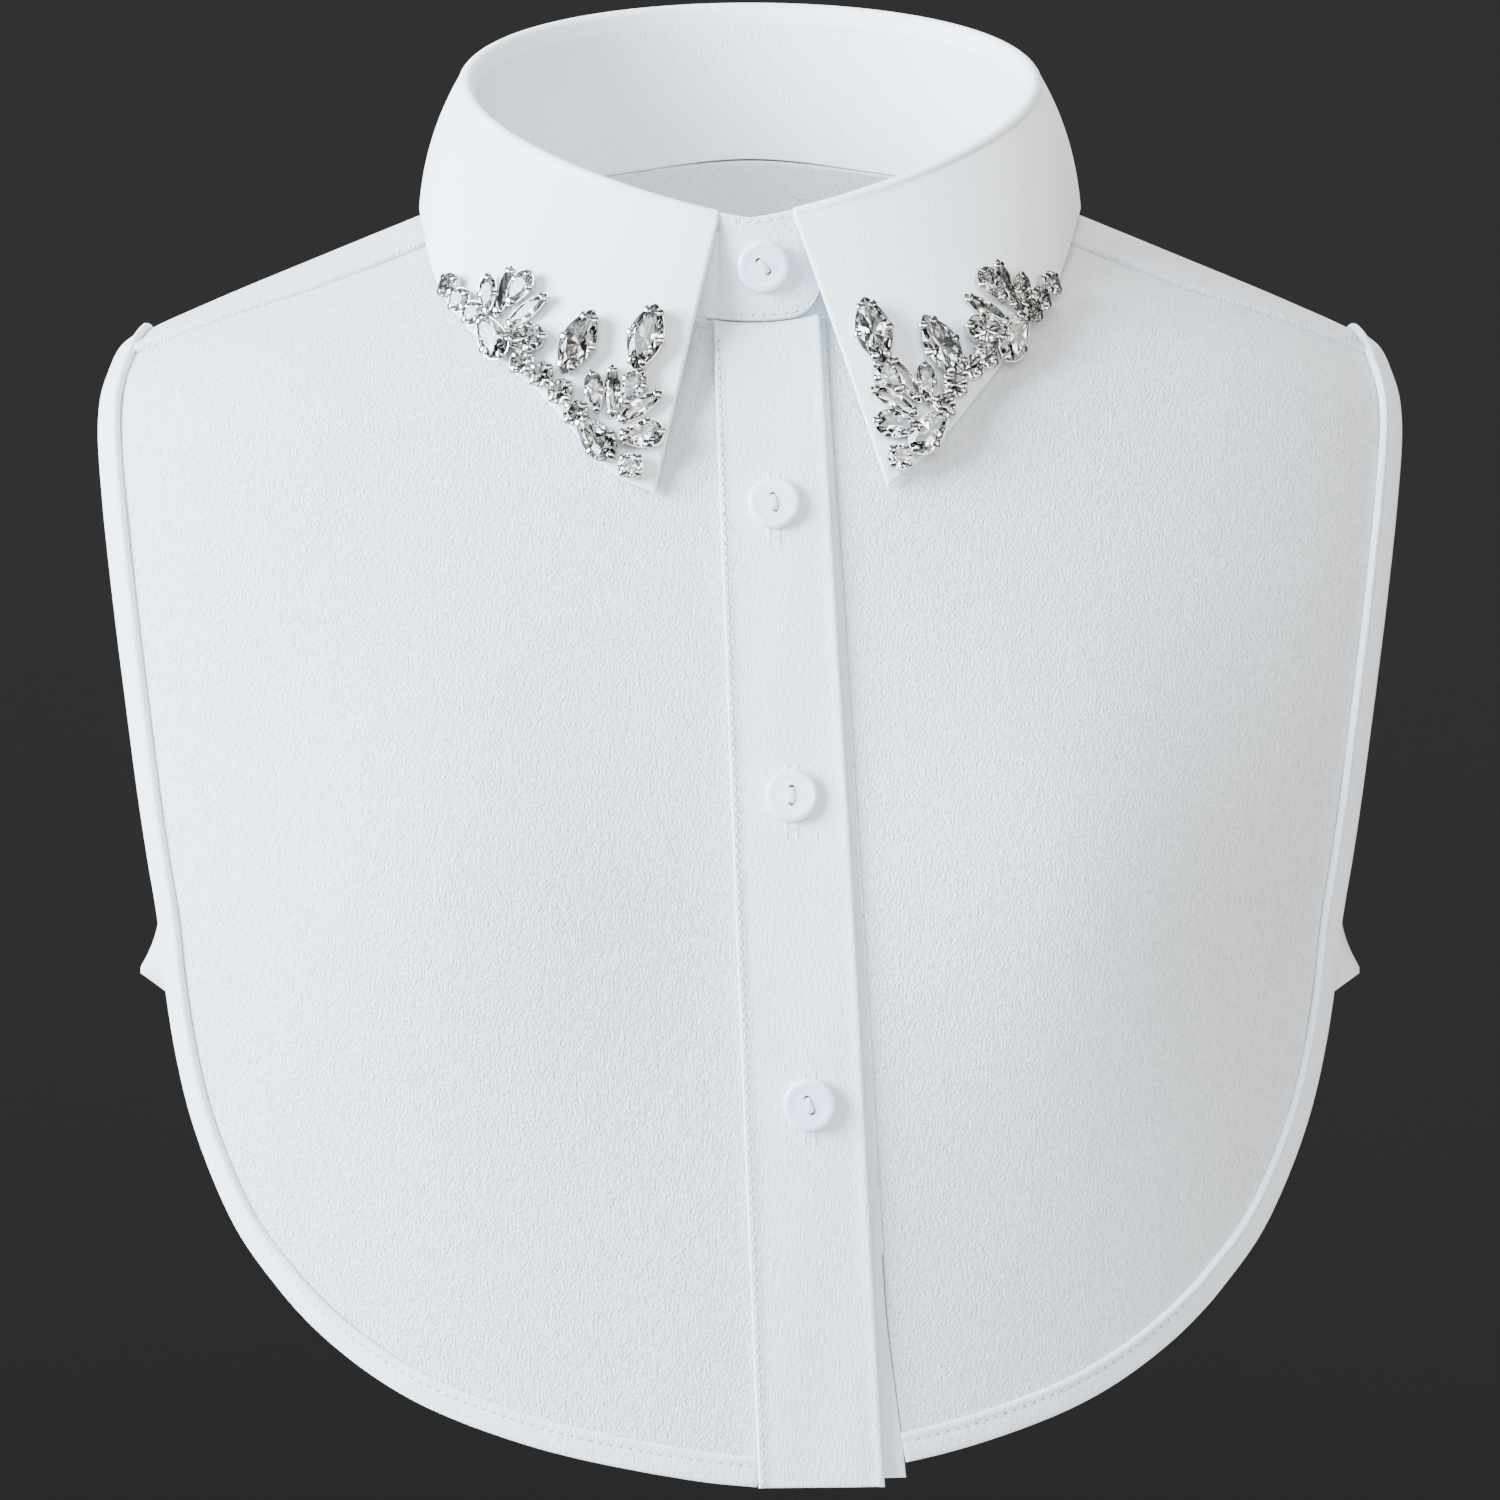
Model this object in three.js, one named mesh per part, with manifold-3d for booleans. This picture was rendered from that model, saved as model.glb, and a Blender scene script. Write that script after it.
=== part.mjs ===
// A detachable shirt collar with jewelled points, in the form it has when worn.
// Millimetres. X runs to the wearer's left, Y to the back, Z up.
// The origin is the centre of the neck, level with the collar's top edge at the front.
import * as THREE from 'three';
import { mergeVertices } from 'three/addons/utils/BufferGeometryUtils.js';
import Module from 'manifold-3d';

const wasm = await Module();
wasm.setup();

// Cloth thicknesses and the clearance between touching pieces
const CLOTH = 1.2;
const LEAF_CLOTH = 1.5;
const STAND_CLOTH = 2.2;
const LAP_CLOTH = 1.3;
const GAP = 0.3;
const END_GAP = 1;

// Sections of the wearer that the cloth lies on: half width, depth to the front and to the
// back, and the power of the superellipse, by height
const SECTIONS = [
  { z: 28, half: 1, front: 6, back: 36, power: 2 },
  { z: 8, half: 50, front: 26, back: 52, power: 2 },
  { z: 0, half: 69, front: 34, back: 58, power: 2 },
  { z: -12, half: 98.5, front: 46, back: 66, power: 2.05 },
  { z: -25, half: 130, front: 58, back: 73, power: 2.1 },
  { z: -34, half: 149, front: 64, back: 77, power: 2.15 },
  { z: -46, half: 163, front: 70, back: 81, power: 2.2 },
  { z: -65, half: 170, front: 77, back: 85, power: 2.25 },
  { z: -100, half: 171, front: 90, back: 90, power: 2.3 },
  { z: -150, half: 168, front: 104, back: 91, power: 2.3 },
  { z: -220, half: 162, front: 111, back: 86, power: 2.3 },
  { z: -300, half: 157, front: 108, back: 78, power: 2.3 },
];
const BUST = { rise: 8, x: 72, z: -150, across: 42, down: 48 };

// Outline of the bib from the middle of its hem up the side to the shoulder
const EDGE = [
  { x: -10, z: -285.4 },
  { x: 0, z: -285.5 },
  { x: 25, z: -282 },
  { x: 52, z: -276.2 },
  { x: 78.5, z: -266.8 },
  { x: 97, z: -255 },
  { x: 108, z: -244.5 },
  { x: 117.5, z: -232.5 },
  { x: 128, z: -209 },
  { x: 133.5, z: -184 },
  { x: 135.6, z: -164 },
  { x: 140, z: -139 },
  { x: 147, z: -95 },
  { x: 150.2, z: -73 },
  { x: 152.3, z: -56 },
  { x: 152.6, z: -44 },
];
const CORNER_X = 108;
const HEM_STEPS = 12;
const SIDE_STEPS = 14;
const RELAX_PASSES = 5;
const SHOULDER = { x: 150.5, flare: 2, reach: 26, stops: [-18, -6, 6, 18] };
const SEAM = { y: -23, bow: 6, steps: 4 };

// Bound edge: places across it and the height of its face there
const BINDING = [
  { across: 0, face: 1.4 },
  { across: 6, face: 2.2 },
  { across: 7.4, face: 1.7 },
];
const BINDING_BACK = -0.2;

// Button strip, from the neck seam to the hem, and the strip under it
const PLACKET = {
  left: { top: -8.5, bottom: 2 },
  right: { top: 16.1, bottom: 30.5 },
  zTop: -25,
  zBottom: -285.2,
  back: 1.5,
  face: 3.2,
  fold: 0.4,
  rows: 16,
};
const UNDER = { lap: 3.3, showTop: 1, showBottom: 2.8 };

// Neck seam and rolled top edge, as ellipses seen from above
const NECK = { across: 66, front: 58, back: 52 };
const ROLL = { across: 68, front: 58, back: 56, rise: 47, power: 1.25 };
const FOLD = { radius: 1.15, flap: 3.2 };

// Collar stand: the over end lies on the under end and comes down to its own thickness
// between two turns, and the under end thins before it goes below
const STAND = {
  lapLift: 1.5,
  lapFrom: 9.5,
  lapTo: 30,
  thinFrom: 330,
  thinTo: 345,
  underTurns: [340, 350, 360, 368.7],
  seamLift: 0.51,
  below: 5.4,
  rows: 3,
};
// Rounded over end and the front between the leaves: turn, rise of the lower edge over the
// seam, and drop of the upper edge under the fold
const STAND_FRONT = [
  { turn: -13.8, low: 6, high: 15 },
  { turn: -12.6, low: 2, high: 9 },
  { turn: -8.4, low: 0, high: 4.4 },
  { turn: -8, low: 0, high: 0.4 },
  { turn: 0, low: 0, high: 0.4 },
  { turn: 5.6, low: 0, high: 0.4 },
  { turn: 5.9, low: 0, high: 5.4 },
  { turn: 9.5, low: 0, high: 5.4 },
  { turn: 16, low: 0, high: 5.4 },
  { turn: 23, low: 0, high: 5.4 },
];
const LEAF_START = { right: -5.9, left: 8.3 };

// Lower edge of the leaf seen from above, from each tip round to the centre back
const LEAF_EDGE = [
  { turn: 0, right: [-21.4, -75.9], left: [31, -75] },
  { turn: 12, right: [-33, -73.2], left: [44, -70] },
  { turn: 28, right: [-47, -66], left: [55.5, -62.3] },
  { turn: 46, right: [-62, -56.5], left: [65, -52] },
  { turn: 64, right: [-71.3, -43], left: [71, -40] },
  { turn: 80, right: [-75.5, -22], left: [75.5, -20] },
  { turn: 92, right: [-77, 0], left: [77, 0] },
  { turn: 110, right: [-72, 27], left: [72, 27] },
  { turn: 135, right: [-52, 47], left: [52, 47] },
  { turn: 158, right: [-27, 58], left: [27, 58] },
  { turn: 180, right: [0, 61], left: [0, 61] },
];
const LEAF = { lift: 3, bulge: 2, rows: [0.12, 0.3, 0.5, 0.7, 0.87, 1], steps: 2 };

// Elastic strap from the front edge to the back edge under each arm
const STRAP = { top: -160, bottom: -175, bow: 9, sag: 15, thick: 1.2, steps: 12, clear: 0.7, out: 0.6 };

// Buttons: place seen from the front
const BUTTONS = [
  { name: 'button_1', x: 3, z: -11.6 },
  { name: 'button_2', x: 5.5, z: -64 },
  { name: 'button_3', x: 9.4, z: -127.4 },
  { name: 'button_4', x: 13.4, z: -195.6 },
];
const BUTTON = { thick: 2.4, hole: 0.85, pitch: 3.1, sides: 16 };
// Half outline of a button from its back to the dish in its face: radius and height
const BUTTON_PROFILE = [
  [0, 0],
  [4.8, 0],
  [6, 0.9],
  [5.9, 1.9],
  [5.4, 2.4],
  [4.7, 2.3],
  [3.8, 1.7],
  [0, 1.7],
];

// Cut stones on the leaf: the way the broad end leans from upright on the right leaf, and
// the places seen from the front on both leaves
const STONES = [
  { name: 'round_1', kind: 'round', lean: 0, right: [-70.1, -16.1], left: [69.4, -16.1] },
  { name: 'round_2', kind: 'round', lean: 0, right: [-67.8, -19.8], left: [66.9, -19.6] },
  { name: 'round_3', kind: 'round', lean: 0, right: [-64.6, -23.2], left: [64.6, -23] },
  { name: 'round_4', kind: 'round', lean: 0, right: [-53.2, -33.2], left: [54.9, -31.9] },
  { name: 'round_5', kind: 'round', lean: 0, right: [-48.4, -36], left: [50.7, -34.6] },
  { name: 'round_6', kind: 'round', lean: 0, right: [-44.2, -39.8], left: [47.2, -38.5] },
  { name: 'round_7', kind: 'round', lean: 0, right: [-40.4, -44], left: [44.7, -43.3] },
  { name: 'round_8', kind: 'round', lean: 0, right: [-27.7, -55.6], left: [34.2, -54.6] },
  { name: 'upper_pear_1', kind: 'pear', lean: -22, right: [-61.3, -17.6], left: [62.7, -17.2] },
  { name: 'upper_slim_1', kind: 'slim', lean: -3, right: [-57.6, -17.9], left: [58.9, -16.8] },
  { name: 'upper_pear_2', kind: 'pear', lean: 30, right: [-53.2, -16.8], left: [54.9, -16] },
  { name: 'upper_slim_2', kind: 'slim', lean: 54, right: [-51.3, -21.8], left: [53, -21.2] },
  { name: 'upper_side', kind: 'side', lean: 98, right: [-51.6, -27.3], left: [53, -26] },
  { name: 'upper_big', kind: 'big', lean: 145, right: [-60.2, -28.4], left: [60.7, -27.6] },
  { name: 'navette_1', kind: 'navette', lean: 22, right: [-39.9, -28.1], left: [43.3, -28.8] },
  { name: 'navette_2', kind: 'navette', lean: 18, right: [-24.3, -26.5], left: [27.8, -25.4] },
  { name: 'lower_pear_1', kind: 'pear', lean: -12, right: [-35.8, -39.6], left: [40.6, -36.4] },
  { name: 'lower_slim_1', kind: 'slim', lean: 4, right: [-31.7, -39.4], left: [36.6, -36.6] },
  { name: 'lower_pear_2', kind: 'pear', lean: 30, right: [-26.7, -38.2], left: [31.9, -35.9] },
  { name: 'lower_slim_2', kind: 'slim', lean: 52, right: [-25.2, -43], left: [31, -41] },
  { name: 'lower_side', kind: 'side', lean: 100, right: [-24.9, -48.2], left: [31.4, -46.2] },
  { name: 'lower_big', kind: 'big', lean: 145, right: [-35, -49.3], left: [39.5, -47.5] },
];
// Length and width of each kind, its taper towards the narrow end, and how pointed it is
const STONE_KINDS = {
  round: { length: 5.3, width: 5.3, taper: 0, point: 0, sides: 8 },
  pear: { length: 8.8, width: 4.2, taper: 0.45, point: 0, sides: 10 },
  slim: { length: 11, width: 2.7, taper: 0, point: 0.5, sides: 10 },
  side: { length: 8.4, width: 5.4, taper: 0.35, point: 0, sides: 10 },
  big: { length: 10.4, width: 5.8, taper: 0.35, point: 0, sides: 10 },
  navette: { length: 14.6, width: 7, taper: 0, point: 0.5, sides: 10 },
};
// Rings of a set stone from the setting's foot to the table: height and share of the outline
const STONE_RINGS = [
  { height: 0, share: 0.9 },
  { height: 1.6, share: 1 },
  { height: 1.65, share: 0.86 },
  { height: 2.6, share: 0.5 },
];

const CREPE = { color: 0xe8ebf0, roughness: 0.85, metalness: 0 };
const ELASTIC = { color: 0xdfe3e8, roughness: 0.9, metalness: 0 };
const PEARL = { color: 0xe9eef6, roughness: 0.18, metalness: 0 };
const CRYSTAL = { color: 0xcfd4da, roughness: 0.08, metalness: 0.55 };

const RIGHT = -1;
const LEFT = 1;
const UP = new THREE.Vector3(0, 0, 1);
const radians = THREE.MathUtils.degToRad;
const lerp = THREE.MathUtils.lerp;
const at = (x, y, z) => new THREE.Vector3(x, y, z);
const moved = (point, direction, distance) => point.clone().addScaledVector(direction, distance);
const span = (from, to, steps) => Array.from({ length: steps + 1 }, (_, i) => lerp(from, to, i / steps));
const smooth = (value, from, to) => THREE.MathUtils.smoothstep(value, from, to);

// Section of the wearer at a height, by cubic interpolation of the rows
function section(z) {
  let i = 0;
  while (i < SECTIONS.length - 2 && z < SECTIONS[i + 1].z) i += 1;
  const a = SECTIONS[Math.max(i - 1, 0)];
  const b = SECTIONS[i];
  const c = SECTIONS[i + 1];
  const d = SECTIONS[Math.min(i + 2, SECTIONS.length - 1)];
  const width = c.z - b.z;
  const t = THREE.MathUtils.clamp((z - b.z) / width, 0, 1);
  const out = {};
  for (const key of ['half', 'front', 'back', 'power']) {
    const leave = ((c[key] - a[key]) / (c.z - a.z)) * width;
    const arrive = ((d[key] - b[key]) / (d.z - b.z)) * width;
    const s = t * t;
    const q = s * t;
    out[key] = (2 * q - 3 * s + 1) * b[key] + (q - 2 * s + t) * leave;
    out[key] += (3 * s - 2 * q) * c[key] + (q - s) * arrive;
  }
  return out;
}

// Positive outside the wearer, zero on the surface
function outside(x, y, z) {
  const s = section(z);
  const depth = y < 0 ? s.front : s.back;
  return (Math.abs(x) / s.half) ** s.power + (Math.abs(y) / depth) ** s.power - 1;
}

function slope(p) {
  const h = 0.05;
  return at(
    outside(p.x + h, p.y, p.z) - outside(p.x - h, p.y, p.z),
    outside(p.x, p.y + h, p.z) - outside(p.x, p.y - h, p.z),
    outside(p.x, p.y, p.z + h) - outside(p.x, p.y, p.z - h),
  ).divideScalar(2 * h);
}

// Moves a point along the slope until it lies on the wearer
function settle(guess) {
  const p = guess.clone();
  for (let i = 0; i < 14; i += 1) {
    const g = slope(p);
    const step = outside(p.x, p.y, p.z) / g.lengthSq();
    p.addScaledVector(g, -step);
  }
  return p;
}

function normalAt(p) {
  return slope(p).normalize();
}

function bust(p) {
  if (p.y > 0) return 0;
  const u = (Math.abs(p.x) - BUST.x) / BUST.across;
  const w = (p.z - BUST.z) / BUST.down;
  return BUST.rise * Math.exp(-u * u - w * w);
}

// A point above the wearer's surface
function lifted(p, height) {
  return moved(p, normalAt(p), height + bust(p));
}

// Height of the surface over a place seen from above
function heightOver(x, y) {
  let low = -150;
  let high = 27;
  for (let i = 0; i < 40; i += 1) {
    const middle = (low + high) / 2;
    if (outside(x, y, middle) > 0) high = middle;
    else low = middle;
  }
  return low;
}

// Surface point at a place seen from the front, on the front or back of the body
function bodyPoint(x, z, toBack = false) {
  const s = section(z);
  const left = Math.max(1 - (Math.abs(x) / s.half) ** s.power, 0.0001);
  const depth = (toBack ? s.back : -s.front) * left ** (1 / s.power);
  return settle(at(x, depth, z));
}

// Closed solid between an inner and an outer grid of points
function solidBetween(inner, outer, closed = false) {
  const rows = outer.length;
  const columns = outer[0].length;
  const points = [...outer.flat(), ...inner.flat()];
  const index = [];
  const quad = (a, b, c, d) => index.push(a, b, c, a, c, d);
  const top = (i, j) => (i % rows) * columns + j;
  const under = (i, j) => rows * columns + top(i, j);
  const spans = closed ? rows : rows - 1;
  for (let i = 0; i < spans; i += 1) {
    for (let j = 0; j < columns - 1; j += 1) {
      quad(top(i, j), top(i + 1, j), top(i + 1, j + 1), top(i, j + 1));
      quad(under(i, j), under(i, j + 1), under(i + 1, j + 1), under(i + 1, j));
    }
    quad(top(i, 0), under(i, 0), under(i + 1, 0), top(i + 1, 0));
    const last = columns - 1;
    quad(top(i, last), top(i + 1, last), under(i + 1, last), under(i, last));
  }
  if (!closed) {
    const end = rows - 1;
    for (let j = 0; j < columns - 1; j += 1) {
      quad(top(0, j), top(0, j + 1), under(0, j + 1), under(0, j));
      quad(top(end, j), under(end, j), under(end, j + 1), top(end, j + 1));
    }
  }
  const geometry = new THREE.BufferGeometry().setFromPoints(points);
  geometry.setIndex(index);
  return facingOut(geometry);
}

// Turns the faces over where they point inwards
function facingOut(geometry) {
  const p = geometry.attributes.position;
  const index = geometry.index.array;
  const corner = (i) => at(p.getX(index[i]), p.getY(index[i]), p.getZ(index[i]));
  let volume = 0;
  for (let i = 0; i < index.length; i += 3) {
    volume += corner(i).dot(corner(i + 1).cross(corner(i + 2)));
  }
  if (volume > 0) return geometry;
  for (let i = 0; i < index.length; i += 3) {
    const kept = index[i];
    index[i] = index[i + 1];
    index[i + 1] = kept;
  }
  return geometry;
}

// Cloth of one thickness that lies above the wearer
function clothOver(points, low, high) {
  const inner = points.map((row) => row.map((p) => lifted(p, low)));
  const outer = points.map((row) => row.map((p) => lifted(p, high)));
  return { inner, outer };
}

function piece(name, geometry, look) {
  const mesh = new THREE.Mesh(geometry, new THREE.MeshStandardMaterial(look));
  mesh.name = name;
  return mesh;
}

// Outline of one side, from the front hem over the shoulder to the back hem
const edgeCurve = new THREE.CatmullRomCurve3(
  EDGE.map((row) => at(row.x, 0, row.z)),
  false,
  'centripetal',
);

function edgeShare(x) {
  let low = 0;
  let high = 0.7;
  for (let i = 0; i < 40; i += 1) {
    const middle = (low + high) / 2;
    if (edgeCurve.getPointAt(middle).x < x) low = middle;
    else high = middle;
  }
  return low;
}

function halfOutline(side, startX, toBack) {
  const corner = edgeShare(CORNER_X);
  const hem = span(edgeShare(startX), corner, HEM_STEPS);
  const flank = span(corner, 1, SIDE_STEPS).slice(1);
  return [...hem, ...flank].map((share) => {
    const p = edgeCurve.getPointAt(share);
    return bodyPoint(side * p.x, p.z, toBack);
  });
}

function outline(side, startX, backStartX) {
  const crossing = SHOULDER.stops.map((y) => {
    const x = side * (SHOULDER.x + SHOULDER.flare * (y / SHOULDER.reach) ** 2);
    return settle(at(x, y, heightOver(x, y)));
  });
  const front = halfOutline(side, startX, false);
  const back = halfOutline(side, backStartX, true).reverse();
  return [...front, ...crossing, ...back];
}

// The outline moved inwards over the surface
function inset(points, side, distance) {
  return points.map((p, i) => {
    const before = points[Math.max(i - 1, 0)];
    const after = points[Math.min(i + 1, points.length - 1)];
    const along = after.clone().sub(before).normalize();
    const inwards = normalAt(p).cross(along).normalize();
    return settle(moved(p, inwards, side * distance));
  });
}

// Turn round the body's axis and height of a point, with turns kept within half a turn of one
function turnAndHeight(p, centre) {
  const turn = THREE.MathUtils.radToDeg(Math.atan2(-p.x, -p.y));
  const wrapped = THREE.MathUtils.euclideanModulo(turn - centre + 180, 360) - 180;
  return at(wrapped + centre, 0, p.z);
}

// Surface point at a turn and height
function pointAtTurn(turn, z) {
  const a = radians(turn);
  const s = section(z);
  const depth = Math.cos(a) > 0 ? s.front : s.back;
  const reach = (Math.abs(Math.sin(a)) / s.half) ** s.power
    + (Math.abs(Math.cos(a)) / depth) ** s.power;
  const r = reach ** (-1 / s.power);
  return at(-r * Math.sin(a), -r * Math.cos(a), z);
}

// Mixes four borders into the point at shares s across and t down
function mixed({ top, bottom, left, right }, i, j, s, t) {
  const last = top.length - 1;
  const p = top[j].clone().lerp(bottom[j], t);
  const start = top[0].clone().lerp(bottom[0], t);
  const end = top[last].clone().lerp(bottom[last], t);
  p.addScaledVector(left[i].clone().sub(start), 1 - s);
  return p.addScaledVector(right[i].clone().sub(end), s);
}

// Grid of points on the wearer between four borders that meet at the corners. Near the
// shoulder tips the borders are mixed in space, and elsewhere by turn and height.
function blended(borders, centre) {
  const { top, bottom, left, right } = borders;
  const flat = {};
  for (const key of Object.keys(borders)) {
    flat[key] = borders[key].map((p) => turnAndHeight(p, centre));
  }
  const rows = left.length - 1;
  const columns = top.length - 1;
  return left.map((_, i) => top.map((__, j) => {
    const t = i / rows;
    const s = j / columns;
    if (i === 0) return top[j];
    if (i === rows) return bottom[j];
    if (j === 0) return left[i];
    if (j === columns) return right[i];
    const inSpace = mixed(borders, i, j, s, t);
    const byTurn = mixed(flat, i, j, s, t);
    const fromSide = centre === 0 ? s : 2 * Math.min(s, 1 - s);
    return settle(inSpace.lerp(pointAtTurn(byTurn.x, byTurn.z), smooth(fromSide, 0.2, 0.5)));
  }));
}

// Evens out a grid on the wearer, its borders kept
function relaxed(grid, passes) {
  let now = grid;
  for (let pass = 0; pass < passes; pass += 1) {
    now = now.map((row, i) => row.map((p, j) => {
      if (i === 0 || j === 0 || i === grid.length - 1 || j === row.length - 1) return p;
      const around = now[i - 1][j].clone().add(now[i + 1][j]).add(row[j - 1]).add(row[j + 1]);
      return settle(around.multiplyScalar(0.25));
    }));
  }
  return now;
}

// Place on the neck seam: turn is 0 at the front and grows towards the wearer's right
function neckPoint(turn) {
  const a = radians(turn);
  const depth = Math.cos(a) > 0 ? NECK.front : NECK.back;
  const x = -NECK.across * Math.sin(a);
  const y = -depth * Math.cos(a);
  return at(x, y, heightOver(x, y));
}

// Level direction out of the neck at a turn
function outOfNeck(turn) {
  const a = radians(turn);
  const depth = Math.cos(a) > 0 ? NECK.front : NECK.back;
  return at(-Math.sin(a) / NECK.across, -Math.cos(a) / depth, 0).normalize();
}

// Direction halfway between the bib and the stand, in which both are cut at the seam
function seamCut(turn) {
  const out = outOfNeck(turn);
  const cut = normalAt(neckPoint(turn)).add(out).normalize();
  return { cut, out };
}

// Edge of the bib at the neck, a gap down the slope from the seam
function bibNeckPoint(turn) {
  const p = neckPoint(turn);
  const normal = normalAt(p);
  const down = outOfNeck(turn);
  down.addScaledVector(normal, -down.dot(normal)).normalize();
  return settle(moved(p, down, GAP));
}

// Cuts the top row of a bib piece along the seam
function trimAtNeck(grid, turns, low, high) {
  turns.forEach((turn, j) => {
    if (turn === null) return;
    const { cut } = seamCut(turn);
    const p = bibNeckPoint(turn);
    const share = cut.dot(normalAt(p));
    grid.inner[0][j] = moved(p, cut, low / share);
    grid.outer[0][j] = moved(p, cut, high / share);
  });
}

const turnAtX = (x) => -THREE.MathUtils.radToDeg(Math.asin(x / NECK.across));
const seamTurn = THREE.MathUtils.radToDeg(Math.acos(-SEAM.y / NECK.front));

// Shoulder seam from the bound edge to the neck
function shoulderSeam(from, side, shift) {
  const end = bibNeckPoint(-side * seamTurn);
  return span(0, 1, SEAM.steps).map((t) => {
    const x = lerp(from.x, end.x, t);
    const y = lerp(from.y, end.y, t) - SEAM.bow * Math.sin(Math.PI * t);
    return settle(at(x, y + shift, heightOver(x, y + shift)));
  });
}

const placketX = (edge, z) => {
  const t = (z - PLACKET.zTop) / (PLACKET.zBottom - PLACKET.zTop);
  return lerp(PLACKET[edge].top, PLACKET[edge].bottom, t);
};
const underRight = (z) => {
  const t = (z - PLACKET.zTop) / (PLACKET.zBottom - PLACKET.zTop);
  return placketX('right', z) + lerp(UNDER.showTop, UNDER.showBottom, t);
};
const underLeft = (z) => placketX('left', z) + UNDER.lap;

const hemStart = {
  [RIGHT]: -(PLACKET.left.bottom - END_GAP),
  [LEFT]: underRight(PLACKET.zBottom) + END_GAP,
};
const outlines = {
  [RIGHT]: outline(RIGHT, hemStart[RIGHT], END_GAP),
  [LEFT]: outline(LEFT, hemStart[LEFT], END_GAP),
};
const bindingWidth = BINDING[BINDING.length - 1].across;
const innerEdge = {
  [RIGHT]: inset(outlines[RIGHT], RIGHT, bindingWidth + GAP),
  [LEFT]: inset(outlines[LEFT], LEFT, bindingWidth + GAP),
};
const TIP = HEM_STEPS + SIDE_STEPS + 1;

// Turns at which the bib and the stand share their corners along the neck seam
const neckSteps = HEM_STEPS - SEAM.steps;
const neckTurns = {
  [RIGHT]: span(seamTurn, turnAtX(underLeft(PLACKET.zTop) - GAP), neckSteps),
  [LEFT]: span(-seamTurn, turnAtX(underRight(PLACKET.zTop) + GAP), neckSteps),
  back: span(seamTurn, 360 - seamTurn, 2 * neckSteps),
};

function binding(side) {
  const rows = BINDING.map((row) => {
    const points = row.across === 0 ? outlines[side] : inset(outlines[side], side, row.across);
    return {
      inner: points.map((p) => lifted(p, BINDING_BACK)),
      outer: points.map((p) => lifted(p, row.face)),
    };
  });
  return solidBetween(rows.map((r) => r.inner), rows.map((r) => r.outer));
}

// Front half of the bib, from the bound edge to the button strip
function frontPanel(side, edgeAt) {
  const edge = innerEdge[side];
  const seam = shoulderSeam(edge[TIP], side, -GAP / 2);
  seam[0] = edge[TIP];
  const turns = neckTurns[side];
  const top = [...seam.slice(0, -1), ...turns.map(bibNeckPoint)];
  const left = edge.slice(HEM_STEPS, TIP + 1).reverse();
  const bottom = edge.slice(0, HEM_STEPS + 1).reverse();
  const end = bottom[bottom.length - 1];
  const endX = edgeAt(end.z);
  bottom[bottom.length - 1] = bodyPoint(endX, end.z);
  const start = top[top.length - 1];
  const right = span(0, 1, left.length - 1).map((t) => {
    const z = lerp(start.z, end.z, t);
    return bodyPoint(lerp(start.x, endX, t), z);
  });
  right[0] = start;
  const grid = clothOver(relaxed(blended({ top, bottom, left, right }, 0), RELAX_PASSES), 0, CLOTH);
  trimAtNeck(grid, [...Array(SEAM.steps).fill(null), ...turns], 0, CLOTH);
  return solidBetween(grid.inner, grid.outer);
}

// Back of the bib, which reaches over the shoulders to the seams
function backPanel() {
  const right = innerEdge[RIGHT].slice(TIP);
  const left = innerEdge[LEFT].slice(TIP);
  const sideRows = right.length - HEM_STEPS;
  const seamRight = shoulderSeam(right[0], RIGHT, GAP / 2);
  const seamLeft = shoulderSeam(left[0], LEFT, GAP / 2);
  const neck = neckTurns.back.map(bibNeckPoint);
  const top = [...seamRight.slice(0, -1), ...neck, ...seamLeft.slice(0, -1).reverse()];
  const hemRight = right.slice(sideRows - 1);
  const hemLeft = left.slice(sideRows - 1, -1).reverse();
  const borders = {
    top,
    bottom: [...hemRight, ...hemLeft],
    left: right.slice(0, sideRows),
    right: left.slice(0, sideRows),
  };
  const grid = clothOver(relaxed(blended(borders, 180), RELAX_PASSES), 0, CLOTH);
  const ends = Array(SEAM.steps).fill(null);
  trimAtNeck(grid, [...ends, ...neckTurns.back, ...ends], 0, CLOTH);
  return solidBetween(grid.inner, grid.outer);
}

// A strip down the front between two edges given by height
function strip(leftAt, rightAt, columns, low, high, zBottom) {
  const turns = columns.map((c) => turnAtX(lerp(leftAt(PLACKET.zTop), rightAt(PLACKET.zTop), c)));
  const top = turns.map(bibNeckPoint);
  const points = span(0, 1, PLACKET.rows).map((t) => columns.map((c, j) => {
    const z = lerp(top[j].z, zBottom, t);
    return t === 0 ? top[j] : bodyPoint(lerp(leftAt(z), rightAt(z), c), z);
  }));
  const grid = clothOver(points, low, high);
  trimAtNeck(grid, turns, low, high);
  return grid;
}

function placket() {
  const left = (z) => placketX('left', z);
  const right = (z) => placketX('right', z);
  const columns = [0, 0.12, 0.88, 1];
  const grid = strip(left, right, columns, PLACKET.back, PLACKET.face, PLACKET.zBottom);
  grid.outer.forEach((row) => [1, 2].forEach((j) => row[j].y += PLACKET.fold));
  return solidBetween(grid.inner, grid.outer);
}

function underPlacket() {
  const grid = strip(underLeft, underRight, [0, 0.5, 1], 0, CLOTH, PLACKET.zBottom + 1.5);
  return solidBetween(grid.inner, grid.outer);
}

// Centre of the fold along the collar's top edge
function rollPoint(turn) {
  const a = radians(turn);
  const depth = Math.cos(a) > 0 ? ROLL.front : ROLL.back;
  const rise = ROLL.rise * Math.abs(Math.sin(a / 2)) ** ROLL.power;
  const top = rise - FOLD.radius - LEAF_CLOTH / 2;
  return at(-ROLL.across * Math.sin(a), -depth * Math.cos(a), top);
}

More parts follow.
